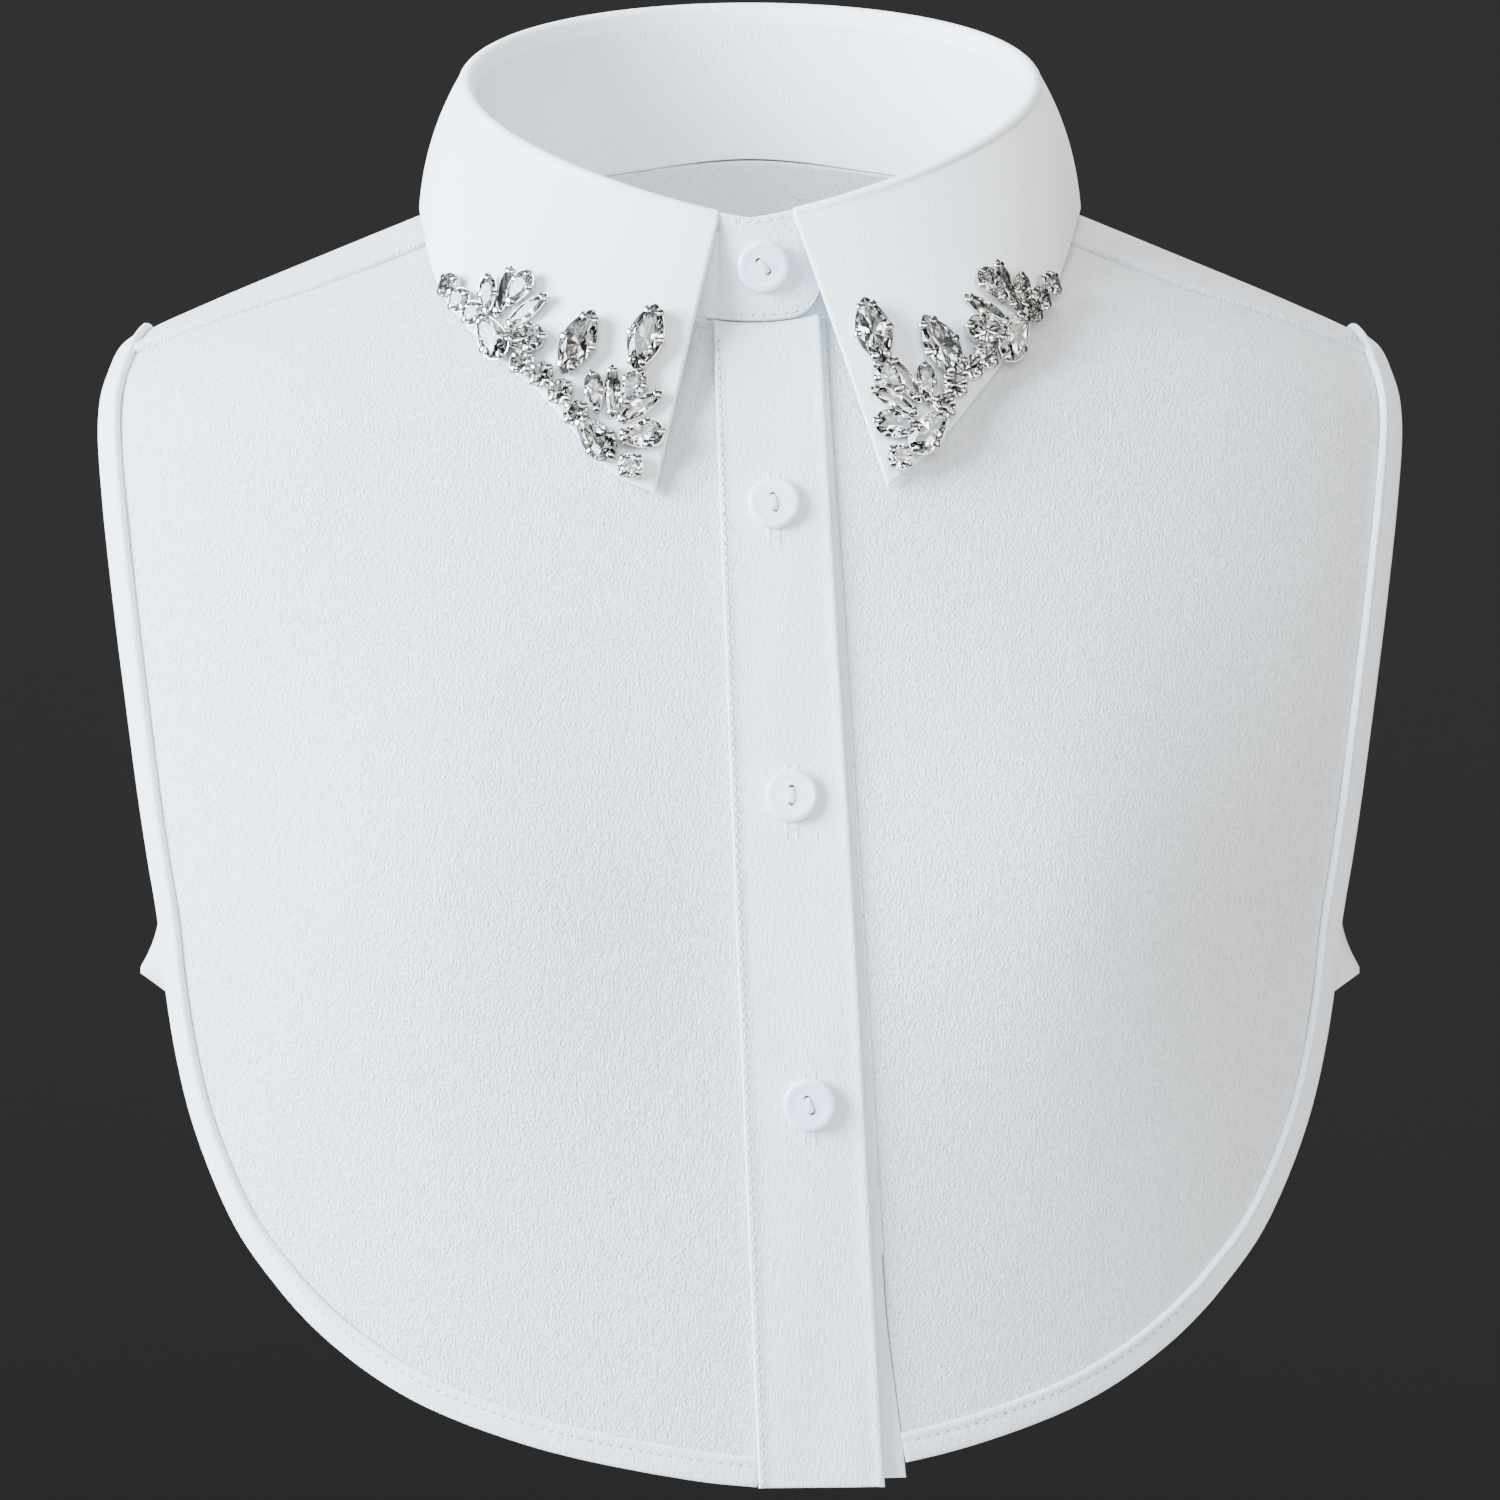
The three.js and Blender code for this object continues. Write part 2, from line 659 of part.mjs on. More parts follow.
// Collar stand, lapped right over left at the front
function stand() {
  const round = [
    ...neckTurns[RIGHT].filter((turn) => turn >= STAND.lapTo).reverse(),
    ...neckTurns.back.slice(1, -1),
    ...neckTurns[LEFT].map((turn) => turn + 360).filter((turn) => turn <= STAND.thinFrom),
  ].map((turn) => ({ turn, low: 0, high: STAND.below }));
  const under = STAND.underTurns.map((turn) => ({ turn, low: 0, high: STAND.below }));
  const stations = [...STAND_FRONT, ...round, ...under];
  const rows = stations.map(({ turn, low, high }) => {
    const lap = 1 - smooth(turn, STAND.lapFrom, STAND.lapTo);
    const from = STAND.lapLift * lap;
    const overLap = STAND.lapLift + LAP_CLOTH;
    const underLap = smooth(turn, STAND.thinFrom, STAND.thinTo);
    const to = lerp(lerp(STAND_CLOTH, overLap, lap), LAP_CLOTH - 0.1, underLap);
    const { cut, out } = seamCut(turn);
    const seam = moved(neckPoint(turn), UP, low + STAND.seamLift);
    const crown = rollPoint(turn);
    crown.addScaledVector(out, -FOLD.radius - LEAF_CLOTH / 2);
    crown.z += FOLD.radius + LEAF_CLOTH / 2 - high;
    const wall = (offset) => span(0, 1, STAND.rows).map((t) => {
      const p = seam.clone().lerp(crown, t);
      const base = moved(p, cut, offset / cut.dot(out));
      return base.lerp(moved(p, out, offset), smooth(t, 0, 0.4));
    });
    return { inner: wall(from), outer: wall(to) };
  });
  return solidBetween(rows.map((r) => r.inner), rows.map((r) => r.outer));
}

// The leaf from the inner flap over the fold to its lower edge, as the middle of the cloth
function leafGrid() {
  const right = LEAF_EDGE.map((row) => at(row.right[0], row.right[1], row.turn));
  const left = LEAF_EDGE.slice(0, -1).reverse().map((row) => at(row.left[0], row.left[1], 360 - row.turn));
  const curve = new THREE.CatmullRomCurve3([...right, ...left], false, 'catmullrom', 0.5);
  const intervals = right.length + left.length - 1;
  const start = -LEAF_START.right;
  const end = 360 - LEAF_START.left;
  return span(0, 1, intervals * LEAF.steps).map((share) => {
    const plan = curve.getPoint(share);
    const turn = lerp(start, end, plan.z / 360);
    const out = outOfNeck(turn);
    const roll = rollPoint(turn);
    const row = [
      moved(moved(roll, out, -FOLD.radius), UP, -FOLD.flap),
      moved(roll, out, -FOLD.radius),
    ];
    for (const angle of [145, 90, 35, 0]) {
      const a = radians(angle);
      row.push(moved(moved(roll, out, FOLD.radius * Math.cos(a)), UP, FOLD.radius * Math.sin(a)));
    }
    const hang = row[row.length - 1];
    const seat = at(plan.x, plan.y, heightOver(plan.x, plan.y));
    const edge = lifted(seat, LEAF.lift);
    const away = normalAt(seat).add(out).normalize();
    for (const share of LEAF.rows) {
      const bulge = 4 * LEAF.bulge * share * (1 - share);
      row.push(moved(hang.clone().lerp(edge, share), away, bulge));
    }
    return row;
  });
}

// Offsets a grid both ways along its own normals
function thickened(grid, thickness) {
  const inner = [];
  const outer = [];
  const pick = (list, i) => list[THREE.MathUtils.clamp(i, 0, list.length - 1)];
  grid.forEach((row, i) => {
    inner.push([]);
    outer.push([]);
    row.forEach((p, j) => {
      const along = pick(grid, i + 1)[j].clone().sub(pick(grid, i - 1)[j]);
      const down = pick(row, j + 1).clone().sub(pick(row, j - 1));
      const normal = down.cross(along).normalize();
      inner[i].push(moved(p, normal, -thickness / 2));
      outer[i].push(moved(p, normal, thickness / 2));
    });
  });
  return { inner, outer };
}

function leaf() {
  const grid = thickened(leafGrid(), LEAF_CLOTH);
  return solidBetween(grid.inner, grid.outer);
}

function strap(side) {
  const levels = [STRAP.top, (STRAP.top + STRAP.bottom) / 2, STRAP.bottom];
  const rows = span(-1, 1, STRAP.steps).map((share) => levels.map((z) => {
    const rim = edgeCurve.getPointAt(edgeAtHeight(z));
    const front = bodyPoint(side * rim.x, z);
    const back = bodyPoint(side * rim.x, z, true);
    const y = lerp(front.y + STRAP.clear, back.y - STRAP.clear, (share + 1) / 2);
    const x = side * (rim.x + STRAP.out + STRAP.bow * (1 - share ** 4));
    return at(x, y, z - STRAP.sag * (1 - share ** 2));
  }));
  const inner = rows.map((row) => row.map((p) => at(p.x - side * STRAP.thick, p.y, p.z)));
  return solidBetween(inner, rows);
}

function edgeAtHeight(z) {
  let low = 0.3;
  let high = 1;
  for (let i = 0; i < 40; i += 1) {
    const middle = (low + high) / 2;
    if (edgeCurve.getPointAt(middle).z < z) low = middle;
    else high = middle;
  }
  return low;
}

// Turns a three.js geometry into a solid that can be cut
function solidOf(geometry) {
  const bare = geometry.clone();
  bare.deleteAttribute('normal');
  bare.deleteAttribute('uv');
  const merged = mergeVertices(bare, 0.0001);
  return new wasm.Manifold(new wasm.Mesh({
    numProp: 3,
    vertProperties: merged.attributes.position.array,
    triVerts: new Uint32Array(merged.index.array),
  }));
}

function geometryOf(solid) {
  const mesh = solid.getMesh();
  const geometry = new THREE.BufferGeometry();
  geometry.setAttribute('position', new THREE.BufferAttribute(mesh.vertProperties, 3));
  geometry.setIndex(new THREE.BufferAttribute(mesh.triVerts, 1));
  return geometry;
}

// Two-hole shirt button with a raised rim, standing on its back
function buttonGeometry() {
  const { thick } = BUTTON;
  const profile = BUTTON_PROFILE.map(([r, h]) => new THREE.Vector2(r, h));
  const disc = new THREE.LatheGeometry(profile, BUTTON.sides).rotateX(Math.PI / 2);
  let solid = solidOf(disc);
  for (const side of [-1, 1]) {
    const hole = new THREE.CylinderGeometry(BUTTON.hole, BUTTON.hole, 3 * thick, 8);
    hole.rotateX(Math.PI / 2).translate(0, (side * BUTTON.pitch) / 2, thick / 2);
    solid = solid.subtract(solidOf(hole));
  }
  return geometryOf(solid);
}

// Set stone of a kind, its foot on the XY plane and its broad end towards Y
function stoneGeometry(kind) {
  const { length, width, taper, point, sides } = STONE_KINDS[kind];
  const points = [];
  for (const { height, share } of STONE_RINGS) {
    for (let i = 0; i < sides; i += 1) {
      const a = (2 * Math.PI * i) / sides;
      const pinch = (1 - point * Math.sin(a) ** 2) * (1 + taper * Math.sin(a)) / (1 + taper / 2);
      const x = (share * width * Math.cos(a) * pinch) / 2;
      points.push(at(x, (share * length * Math.sin(a)) / 2, height));
    }
  }
  const index = [];
  const top = (STONE_RINGS.length - 1) * sides;
  for (let i = 0; i < sides; i += 1) {
    const next = (i + 1) % sides;
    for (let ring = 0; ring < top; ring += sides) {
      const above = ring + sides;
      index.push(ring + i, ring + next, above + next, ring + i, above + next, above + i);
    }
  }
  for (let i = 1; i < sides - 1; i += 1) {
    index.push(0, i + 1, i, top, top + i, top + i + 1);
  }
  const geometry = new THREE.BufferGeometry().setFromPoints(points);
  geometry.setIndex(index);
  return facingOut(geometry);
}

// Point and face direction where a line from the front meets a piece
function seatOn(mesh, x, z) {
  const ray = new THREE.Raycaster(at(x, -300, z), at(0, 1, 0));
  const [hit] = ray.intersectObject(mesh);
  return { point: hit.point, normal: hit.face.normal.clone() };
}

// Places a piece on another, its long side leaning from upright by an angle
function seat(mesh, under, x, z, lean = 0, clear = GAP) {
  const { point, normal } = seatOn(under, x, z);
  const lengthwise = at(Math.sin(radians(lean)), 0, Math.cos(radians(lean)));
  lengthwise.addScaledVector(normal, -lengthwise.dot(normal)).normalize();
  const crosswise = lengthwise.clone().cross(normal);
  mesh.quaternion.setFromRotationMatrix(new THREE.Matrix4().makeBasis(crosswise, lengthwise, normal));
  mesh.position.copy(moved(point, normal, clear));
  return mesh;
}

const collar = new THREE.Group();
const leafMesh = piece('collar_leaf', leaf(), CREPE);
const standMesh = piece('neck_band', stand(), CREPE);
const placketMesh = piece('placket', placket(), CREPE);
collar.add(leafMesh, standMesh, placketMesh);
collar.add(piece('front_right', frontPanel(RIGHT, (z) => underLeft(z) - GAP), CREPE));
collar.add(piece('front_left', frontPanel(LEFT, (z) => underRight(z) + GAP), CREPE));
collar.add(piece('back_panel', backPanel(), CREPE));
collar.add(piece('under_placket', underPlacket(), CREPE));
collar.add(piece('binding_right', binding(RIGHT), CREPE));
collar.add(piece('binding_left', binding(LEFT), CREPE));
collar.add(piece('strap_right', strap(RIGHT), ELASTIC));
collar.add(piece('strap_left', strap(LEFT), ELASTIC));

for (const { name, x, z } of BUTTONS) {
  const button = piece(name, buttonGeometry(), PEARL);
  collar.add(seat(button, name === 'button_1' ? standMesh : placketMesh, x, z));
}

for (const row of STONES) {
  for (const side of ['right', 'left']) {
    const [x, z] = row[side];
    const stone = piece(`stone_${side}_${row.name}`, stoneGeometry(row.kind), CRYSTAL);
    collar.add(seat(stone, leafMesh, x, z, side === 'right' ? row.lean : -row.lean));
  }
}

export default collar;
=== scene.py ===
import math

import bmesh
import bpy
import numpy as np
from mathutils import Matrix, Vector
from mathutils.bvhtree import BVHTree
from mathutils.geometry import delaunay_2d_cdt


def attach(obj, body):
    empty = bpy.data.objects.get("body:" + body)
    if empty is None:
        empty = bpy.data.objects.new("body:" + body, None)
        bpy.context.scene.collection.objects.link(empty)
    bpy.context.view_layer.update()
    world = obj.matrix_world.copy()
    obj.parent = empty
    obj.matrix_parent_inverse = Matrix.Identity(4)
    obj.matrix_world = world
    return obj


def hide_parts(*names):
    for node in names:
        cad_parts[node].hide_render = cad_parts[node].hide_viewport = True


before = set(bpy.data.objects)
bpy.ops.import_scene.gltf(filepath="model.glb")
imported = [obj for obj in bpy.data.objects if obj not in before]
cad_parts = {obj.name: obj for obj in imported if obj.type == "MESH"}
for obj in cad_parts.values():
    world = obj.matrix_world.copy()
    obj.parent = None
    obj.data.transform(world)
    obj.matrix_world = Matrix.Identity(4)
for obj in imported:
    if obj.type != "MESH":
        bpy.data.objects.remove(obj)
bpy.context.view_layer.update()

bl_info = {
    "name": "Jewelled Shirt Collar",
    "version": (1, 0, 0),
    "blender": (4, 5, 0),
    "location": "View3D > Sidebar > Collar",
    "description": "Dresses a detachable shirt collar: crepe, stitching, buttons and set stones",
    "category": "Object",
}

# Shapes are worked out in millimetres and written to meshes in metres
MM = 0.001
RIGHT = -1
LEFT = 1
SIDES = {"right": RIGHT, "left": LEFT}

# Sections of the wearer that the cloth lies on, from the neck down: height, half width,
# depth in front and behind, and power of the outline
SECTIONS = np.array([
    (28, 1, 6, 36, 2),
    (8, 50, 26, 52, 2),
    (0, 69, 34, 58, 2),
    (-12, 98.5, 46, 66, 2.05),
    (-25, 130, 58, 73, 2.1),
    (-34, 149, 64, 77, 2.15),
    (-46, 163, 70, 81, 2.2),
    (-65, 170, 77, 85, 2.25),
    (-100, 171, 90, 90, 2.3),
    (-150, 168, 104, 91, 2.3),
    (-220, 162, 111, 86, 2.3),
    (-300, 157, 108, 78, 2.3),
], float)
BUST = {"rise": 8, "x": 72, "z": -150, "across": 42, "down": 48}

# Outline of the bib from the middle of its hem up the side, as x and z
EDGE = np.array([
    (-10, -285.4), (0, -285.5), (25, -282), (52, -276.2), (78.5, -266.8), (97, -255),
    (108, -244.5), (117.5, -232.5), (128, -209), (133.5, -184), (135.6, -164), (140, -139),
    (147, -95), (150.2, -73), (152.3, -56), (152.6, -44),
], float)
CORNER_X = 108
HEM_STEPS = 12
SIDE_STEPS = 14
SHOULDER = {"x": 150.5, "flare": 2, "reach": 26, "stops": (-18, -6, 6, 18)}
SEAM = {"y": -23, "bow": 6, "steps": 4, "gap": 0.05}
# Columns and rows of the grids that the fronts and the back are made of
GRID = {"seam": 24, "front_neck": 49, "front_side": 91, "back_neck": 81, "back_side": 101}
RELAX_PASSES = 60
END_GAP = 0.4

# Cloth thickness, the steps that round its rims, and the looseness of the bib
CLOTH = 1.15
RIM_STEPS = (0.1, 0.35, 0.7, 1.1)
BIB_SWAY = 0.5
SHOULDER_LAP = 1.2

# Bound edge: closed profile as place across it, height, share of the ridge and pucker
BINDING = {
    "panel_from": 5.4,
    "ridge": 1.15,
    "ridge_low": 0.12,
    "ridge_rises": (-272, -232),
    "sway": 0.12,
    "pitch": 2.3,
    "stations": 520,
    "stitches_at": 5.25,
    "stitch_height": 1.58,
    "profile": [
        (0, 0.55, 0, 0), (0.08, 1, 0, 0), (0.4, 1.35, 0, 0), (1.2, 1.5, 0, 0), (2.6, 1.62, 0, 0),
        (4, 1.68, 0, 0), (4.8, 1.66, 0, 0.02), (5.25, 1.48, 0, 0.07), (5.65, 1.7, 0.3, 0.03),
        (6.1, 1.78, 0.85, 0), (6.6, 1.8, 1, 0), (7.1, 1.74, 0.8, 0), (7.45, 1.6, 0.35, 0),
        (7.55, 1.4, 0, 0), (7.4, 1.25, 0, 0), (6.6, 1.22, 0, 0), (5.6, 1.22, 0, 0),
        (5.3, 0.9, 0, 0), (5.2, 0.2, 0, 0), (5, -0.15, 0, 0), (3.4, -0.2, 0, 0), (1.6, -0.2, 0, 0),
        (0.5, -0.15, 0, 0), (0.1, 0.1, 0, 0),
    ],
}

PLACKET = {
    "z_top": -25, "z_bottom": -285.2, "edge_height": 3.2, "stitches_at": 1.15,
    "stitches_top": -29, "stitch_height": 3.03, "pitch": 2.3,
}
PLACKET_EDGES = {"left": (-8.5, 2), "right": (16.1, 30.5)}
UNDER_SHOWS = (1, 2.6)
UNDER_SWING = {"from": -238, "to": -290, "by": 2.6}
UNDER_LAP = 3.3

NECK = {"across": 66, "front": 58, "back": 52}
ROLL = {"across": 68, "front": 58, "back": 56, "rise": 47, "power": 1.25}
FOLD = {"radius": 1.15, "flap": 3.6}
LEAF_START = {"right": -5.9, "left": 8.3}
STAND = {
    "lap_lift": 1.5, "lap_cloth": 1.3, "lap_from": 9.5, "lap_to": 30, "cloth": 2.2,
    "thin_from": 330, "thin_to": 345, "under_end": 368.7, "seam_lift": 0.12, "rows": 40,
    "end_rise": 6.5, "end_drop": 13, "stitches_low": 1.3, "stitches_high": 1.2, "pitch": 2.4,
}
# Front of the stand: turn, rise over the seam, drop under the fold
STAND_FRONT = (
    (-13.8, 6, 15), (-12.6, 2, 9), (-8.4, 0, 0.8), (-8, 0, 0.4), (0, 0, 0.4), (5.6, 0, 0.4),
    (5.9, 0, 4.8), (9.5, 0, 4.8), (23, 0, 4.8),
)
# Lower edge of the leaf seen from above: turn, then x and y on the right and on the left
LEAF_EDGE = np.array([
    (0, -21.4, -75.9, 31, -75),
    (12, -33, -73.2, 44, -70),
    (28, -47, -66, 55.5, -62.3),
    (46, -62, -56.5, 65, -52),
    (64, -71.3, -43, 71, -40),
    (80, -75.5, -22, 75.5, -20),
    (92, -77, 0, 77, 0),
    (110, -72, 27, 72, 27),
    (135, -52, 47, 52, 47),
    (158, -27, 58, 27, 58),
    (180, 0, 61, 0, 61),
], float)
LEAF = {"lift": 3, "bulge": 2, "thick": 1.5, "stations": 301, "rows": 46}

# Elastic strap: its edges seen from the side, its faces' places out from the cloth's edge,
# bow and sag of its middle, and its lengthwise fold
STRAP = {
    "top": -160, "bottom": -175, "faces": (-0.4, 0.5), "bow": 10.5, "sag": 15, "fold_at": 0.62,
    "held": 0.25, "rib": 0.2, "stations": 870, "levels": 15,
}

# Buttons: name, place seen from the front, turn of the holes and the buttonhole's form
BUTTONS = (
    ("button_1", 3, -11.6, -42, "level"),
    ("button_2", 5.5, -64, -10, "upright"),
    ("button_3", 9.4, -127.4, 0, "upright"),
    ("button_4", 13.4, -195.6, -20, "upright"),
)
# Stitched lines of each form of buttonhole: start from the button's centre, and way to the end
BUTTONHOLES = {
    "level": (((-9.3, -0.9), (3.2, 0)), ((-9.3, 0.9), (3.2, 0))),
    "upright": (
        ((-1.15, 5.2), (0, 1.7)), ((-1.15, -9), (0, 3.6)),
        ((1.15, 5.2), (0, 1.7)), ((1.15, -9), (0, 3.6)),
        ((-1.1, -7.2), (2.2, 0)),
    ),
}
# Two-hole button: its holes, and half outline from its back over the rim to the dish
BUTTON = {
    "hole": 0.74,
    "pitch": 3.2,
    "mouth": 0.16,
    "mouth_deep": 0.2,
    "profile": (
        (4.9, 0), (5.5, 0.12), (5.85, 0.4), (6, 0.85), (5.98, 1.3), (5.88, 1.65), (5.68, 1.9),
        (5.4, 2.06), (5, 2.14), (4.6, 2.14), (4.2, 2.1), (3.85, 2.06), (3.5, 2.04),
    ),
}

# Stones: name, kind, and place seen from the front on the right and on the left leaf
STONES = (
    ("round_1", "round", (-69.7, -16.3), (69.7, -16.1)),
    ("round_2", "round", (-67, -19.4), (66.9, -19.2)),
    ("round_3", "round", (-63.7, -22.2), (64.9, -21.8)),
    ("round_4", "round", (-52, -32.8), (53.9, -31.4)),
    ("round_5", "round", (-47.6, -35.3), (50.3, -33.6)),
    ("round_6", "round", (-43.1, -39.1), (46.7, -37.5)),
    ("round_7", "round", (-39.6, -43.8), (44, -42.2)),
    ("round_8", "round", (-27, -55.3), (34, -53.4)),
    ("upper_pear_1", "drop", (-60.2, -17.9), (62.8, -17.7)),
    ("upper_slim_1", "slim", (-56.4, -17), (58.8, -15.8)),
    ("upper_pear_2", "pear", (-52.9, -16.3), (55.6, -15.6)),
    ("upper_slim_2", "slim", (-50.9, -21.3), (54.3, -21.2)),
    ("upper_side", "side", (-51.7, -27.2), (54.2, -25.5)),
    ("upper_big", "big", (-59.8, -28.1), (61, -27.2)),
    ("navette_1", "navette", (-39.1, -28), (43.6, -28.8)),
    ("navette_2", "navette", (-23.7, -26.5), (28.2, -25.4)),
    ("lower_pear_1", "drop", (-35.3, -38.9), (40, -37)),
    ("lower_slim_1", "slim", (-31.2, -38.9), (35.3, -36.2)),
    ("lower_pear_2", "pear", (-26.7, -38.1), (31.5, -35.7)),
    ("lower_slim_2", "slim", (-24.9, -42.2), (32.7, -41)),
    ("lower_side", "side", (-24.6, -48.2), (33.2, -46.2)),
    ("lower_big", "big", (-35, -49), (40.9, -47.4)),
)
# Way that the broad end of each shaped stone leans from upright, outwards on each leaf
STONE_LEANS = {
    "upper_pear_1": (-8, -6),
    "upper_slim_1": (11, 12),
    "upper_pear_2": (29, 35),
    "upper_slim_2": (54, 59),
    "upper_side": (93, 88),
    "upper_big": (145, 145),
    "navette_1": (22, 28),
    "navette_2": (16, 13),
    "lower_pear_1": (-10, 3),
    "lower_slim_1": (-3, 31),
    "lower_pear_2": (24, 40),
    "lower_slim_2": (55, 59),
    "lower_side": (84, 80),
    "lower_big": (140, 142),
}
# Length, width, taper, pinch and claws of each kind of stone
STONE_KINDS = {
    "round": (6, 6, 0, 0, 4),
    "drop": (9.6, 5.2, 0.4, 0, 4),
    "pear": (9.4, 6.3, 0.4, 0, 5),
    "slim": (12.8, 4, 0, 0.4, 4),
    "side": (10.6, 7.4, 0.35, 0, 5),
    "big": (13, 8.1, 0.35, 0, 5),
    "navette": (16.4, 8.4, 0, 0.45, 6),
}
# Gap under a seated piece, and the small tip of each stone in radians
SEAT_GAP = 0.05
STONE_TIP = 0.035

# Soft lights: name, place in metres, width and height in metres, power in watts and colour
LIGHTS = (
    ("key", (-1.75, -0.8, 0.55), (1.1, 1.3), 290, (0.72, 0.87, 1)),
    ("fill", (1.5, -1.2, 0.4), (0.9, 1.1), 23, (1, 0.87, 0.72)),
    ("front", (0.1, -1.9, 0.7), (1.6, 0.7), 37, (0.88, 0.95, 1)),
    ("top", (0, 0.1, 1.6), (1, 1), 22, (0.96, 0.98, 1)),
    ("back", (0.2, 1.9, 0.6), (1.4, 1.2), 60, (1, 0.98, 0.95)),
)
# Floor and wall in millimetres, the point the lights look at in metres, and the plain air
STAGE = {
    "floor_at": -1250, "top_at": 2600, "reach": 2800, "floor_colour": (0.7, 0.69, 0.67),
    "aim": (0, -0.03, -0.12), "air_colour": (0.8, 0.85, 0.9, 1), "air_strength": 0.2,
}
# Camera: place and sensor in millimetres, and degrees below level
CAMERA = {"place": (0, -1232, 60), "pitch": 8.9, "lens": 122.6, "sensor": 36}
# Places in and round a seat where the face direction is read
SEAT_SPREAD = 2.5 * np.array([(0, 0), (1, 0), (-1, 0), (0, 1), (0, -1)])


def section(z):
    """Half width, depths and power of the wearer's section at each height."""
    z = np.asarray(z, float)
    last = len(SECTIONS) - 1
    i = np.clip(np.searchsorted(-SECTIONS[:, 0], -z) - 1, 0, last - 1)
    a = SECTIONS[np.maximum(i - 1, 0)]
    b = SECTIONS[i]
    c = SECTIONS[i + 1]
    d = SECTIONS[np.minimum(i + 2, last)]
    width = (c - b)[..., :1]
    t = np.clip((z[..., None] - b[..., :1]) / width, 0, 1)
    leave = (c - a) / (c - a)[..., :1] * width
    arrive = (d - b) / (d - b)[..., :1] * width
    s = t * t
    q = s * t
    value = (2 * q - 3 * s + 1) * b + (q - 2 * s + t) * leave
    value += (3 * s - 2 * q) * c + (q - s) * arrive
    return value[..., 1], value[..., 2], value[..., 3], value[..., 4]


def outside(p):
    """Positive outside the wearer, zero on the surface."""
    half, front, back, power = section(p[..., 2])
    depth = np.where(p[..., 1] < 0, front, back)
    return (np.abs(p[..., 0]) / half) ** power + (np.abs(p[..., 1]) / depth) ** power - 1


def slope(p):
    """Steepest way out of the wearer at each point."""
    h = 0.05
    steps = np.eye(3) * h
    return np.stack([(outside(p + s) - outside(p - s)) / (2 * h) for s in steps], axis=-1)


def settle(p):
    """Moves points along the slope until they lie on the wearer."""
    p = np.array(p, float)
    for _ in range(10):
        g = slope(p)
        p -= g * (outside(p) / (g * g).sum(-1))[..., None]
    return p


def unit(v):
    return v / np.maximum(np.linalg.norm(v, axis=-1, keepdims=True), 1e-9)


def normal_at(p):
    return unit(slope(p))


def bust(p):
    u = (np.abs(p[..., 0]) - BUST["x"]) / BUST["across"]
    w = (p[..., 2] - BUST["z"]) / BUST["down"]
    return np.where(p[..., 1] > 0, 0, BUST["rise"] * np.exp(-u * u - w * w))


def lifted(p, height):
    """Points above the wearer's surface."""
    return p + normal_at(p) * (np.asarray(height) + bust(p))[..., None]


def height_over(x, y):
    """Height of the surface over places seen from above."""
    x, y = np.broadcast_arrays(np.asarray(x, float), np.asarray(y, float))
    low = np.full(x.shape, -150.0)
    high = np.full(x.shape, 27.0)
    for _ in range(36):
        middle = (low + high) / 2
        out = outside(np.stack([x, y, middle], axis=-1)) > 0
        high = np.where(out, middle, high)
        low = np.where(out, low, middle)
    return low


def body_point(x, z, to_back=False):
    """Surface points at places seen from the front."""
    x, z = np.broadcast_arrays(np.asarray(x, float), np.asarray(z, float))
    half, front, back, power = section(z)
    left = np.maximum(1 - (np.abs(x) / half) ** power, 0.0001)
    depth = (back if to_back else -front) * left ** (1 / power)
    return settle(np.stack([x, depth, z], axis=-1))


def catmull(points, at, centripetal=False):
    """Points of a Catmull-Rom curve through a list, at places counted in its intervals."""
    points = np.asarray(points, float)
    ends = [2 * points[0] - points[1]], [2 * points[-1] - points[-2]]
    p = np.concatenate([ends[0], points, ends[1]])
    at = np.asarray(at, float)
    i = np.clip(at.astype(int), 0, len(points) - 2)
    t = (at - i).reshape(-1, *[1] * (points.ndim - 1))
    p0, p1, p2, p3 = p[i], p[i + 1], p[i + 2], p[i + 3]
    if centripetal:
        pairs = ((p0, p1), (p1, p2), (p2, p3))
        d = [np.sqrt(np.linalg.norm(b - a, axis=-1, keepdims=True)) for a, b in pairs]
        m1 = ((p1 - p0) / d[0] - (p2 - p0) / (d[0] + d[1]) + (p2 - p1) / d[1]) * d[1]
        m2 = ((p2 - p1) / d[1] - (p3 - p1) / (d[1] + d[2]) + (p3 - p2) / d[2]) * d[1]
    else:
        m1 = (p2 - p0) / 2
        m2 = (p3 - p1) / 2
    s = t * t
    q = s * t
    return (2 * q - 3 * s + 1) * p1 + (q - 2 * s + t) * m1 + (3 * s - 2 * q) * p2 + (q - s) * m2


def distances(line):
    """Distance along a polyline at each of its points."""
    return np.concatenate([[0], np.cumsum(np.linalg.norm(np.diff(line, axis=0), axis=1))])


def even_steps(line, count):
    """Points at even distances along a polyline."""
    gone = distances(line)
    at = np.linspace(0, gone[-1], count)
    return np.stack([np.interp(at, gone, column) for column in line.T], axis=-1)


def smooth_line(points, samples, count, centripetal=False):
    """Points at even distances along the curve through a list."""
    at = np.linspace(0, len(points) - 1, samples)
    return even_steps(catmull(points, at, centripetal), count)


EDGE_LINE = smooth_line(EDGE, 2000, 2000, centripetal=True)
EDGE_SHARE = np.linspace(0, 1, len(EDGE_LINE))
# Points of the edge up to which it only goes outwards, and from which it only goes up
EDGE_OUTWARDS = 1600
EDGE_UPWARDS = 900


def edge_share(x):
    return float(np.interp(x, EDGE_LINE[:EDGE_OUTWARDS, 0], EDGE_SHARE[:EDGE_OUTWARDS]))


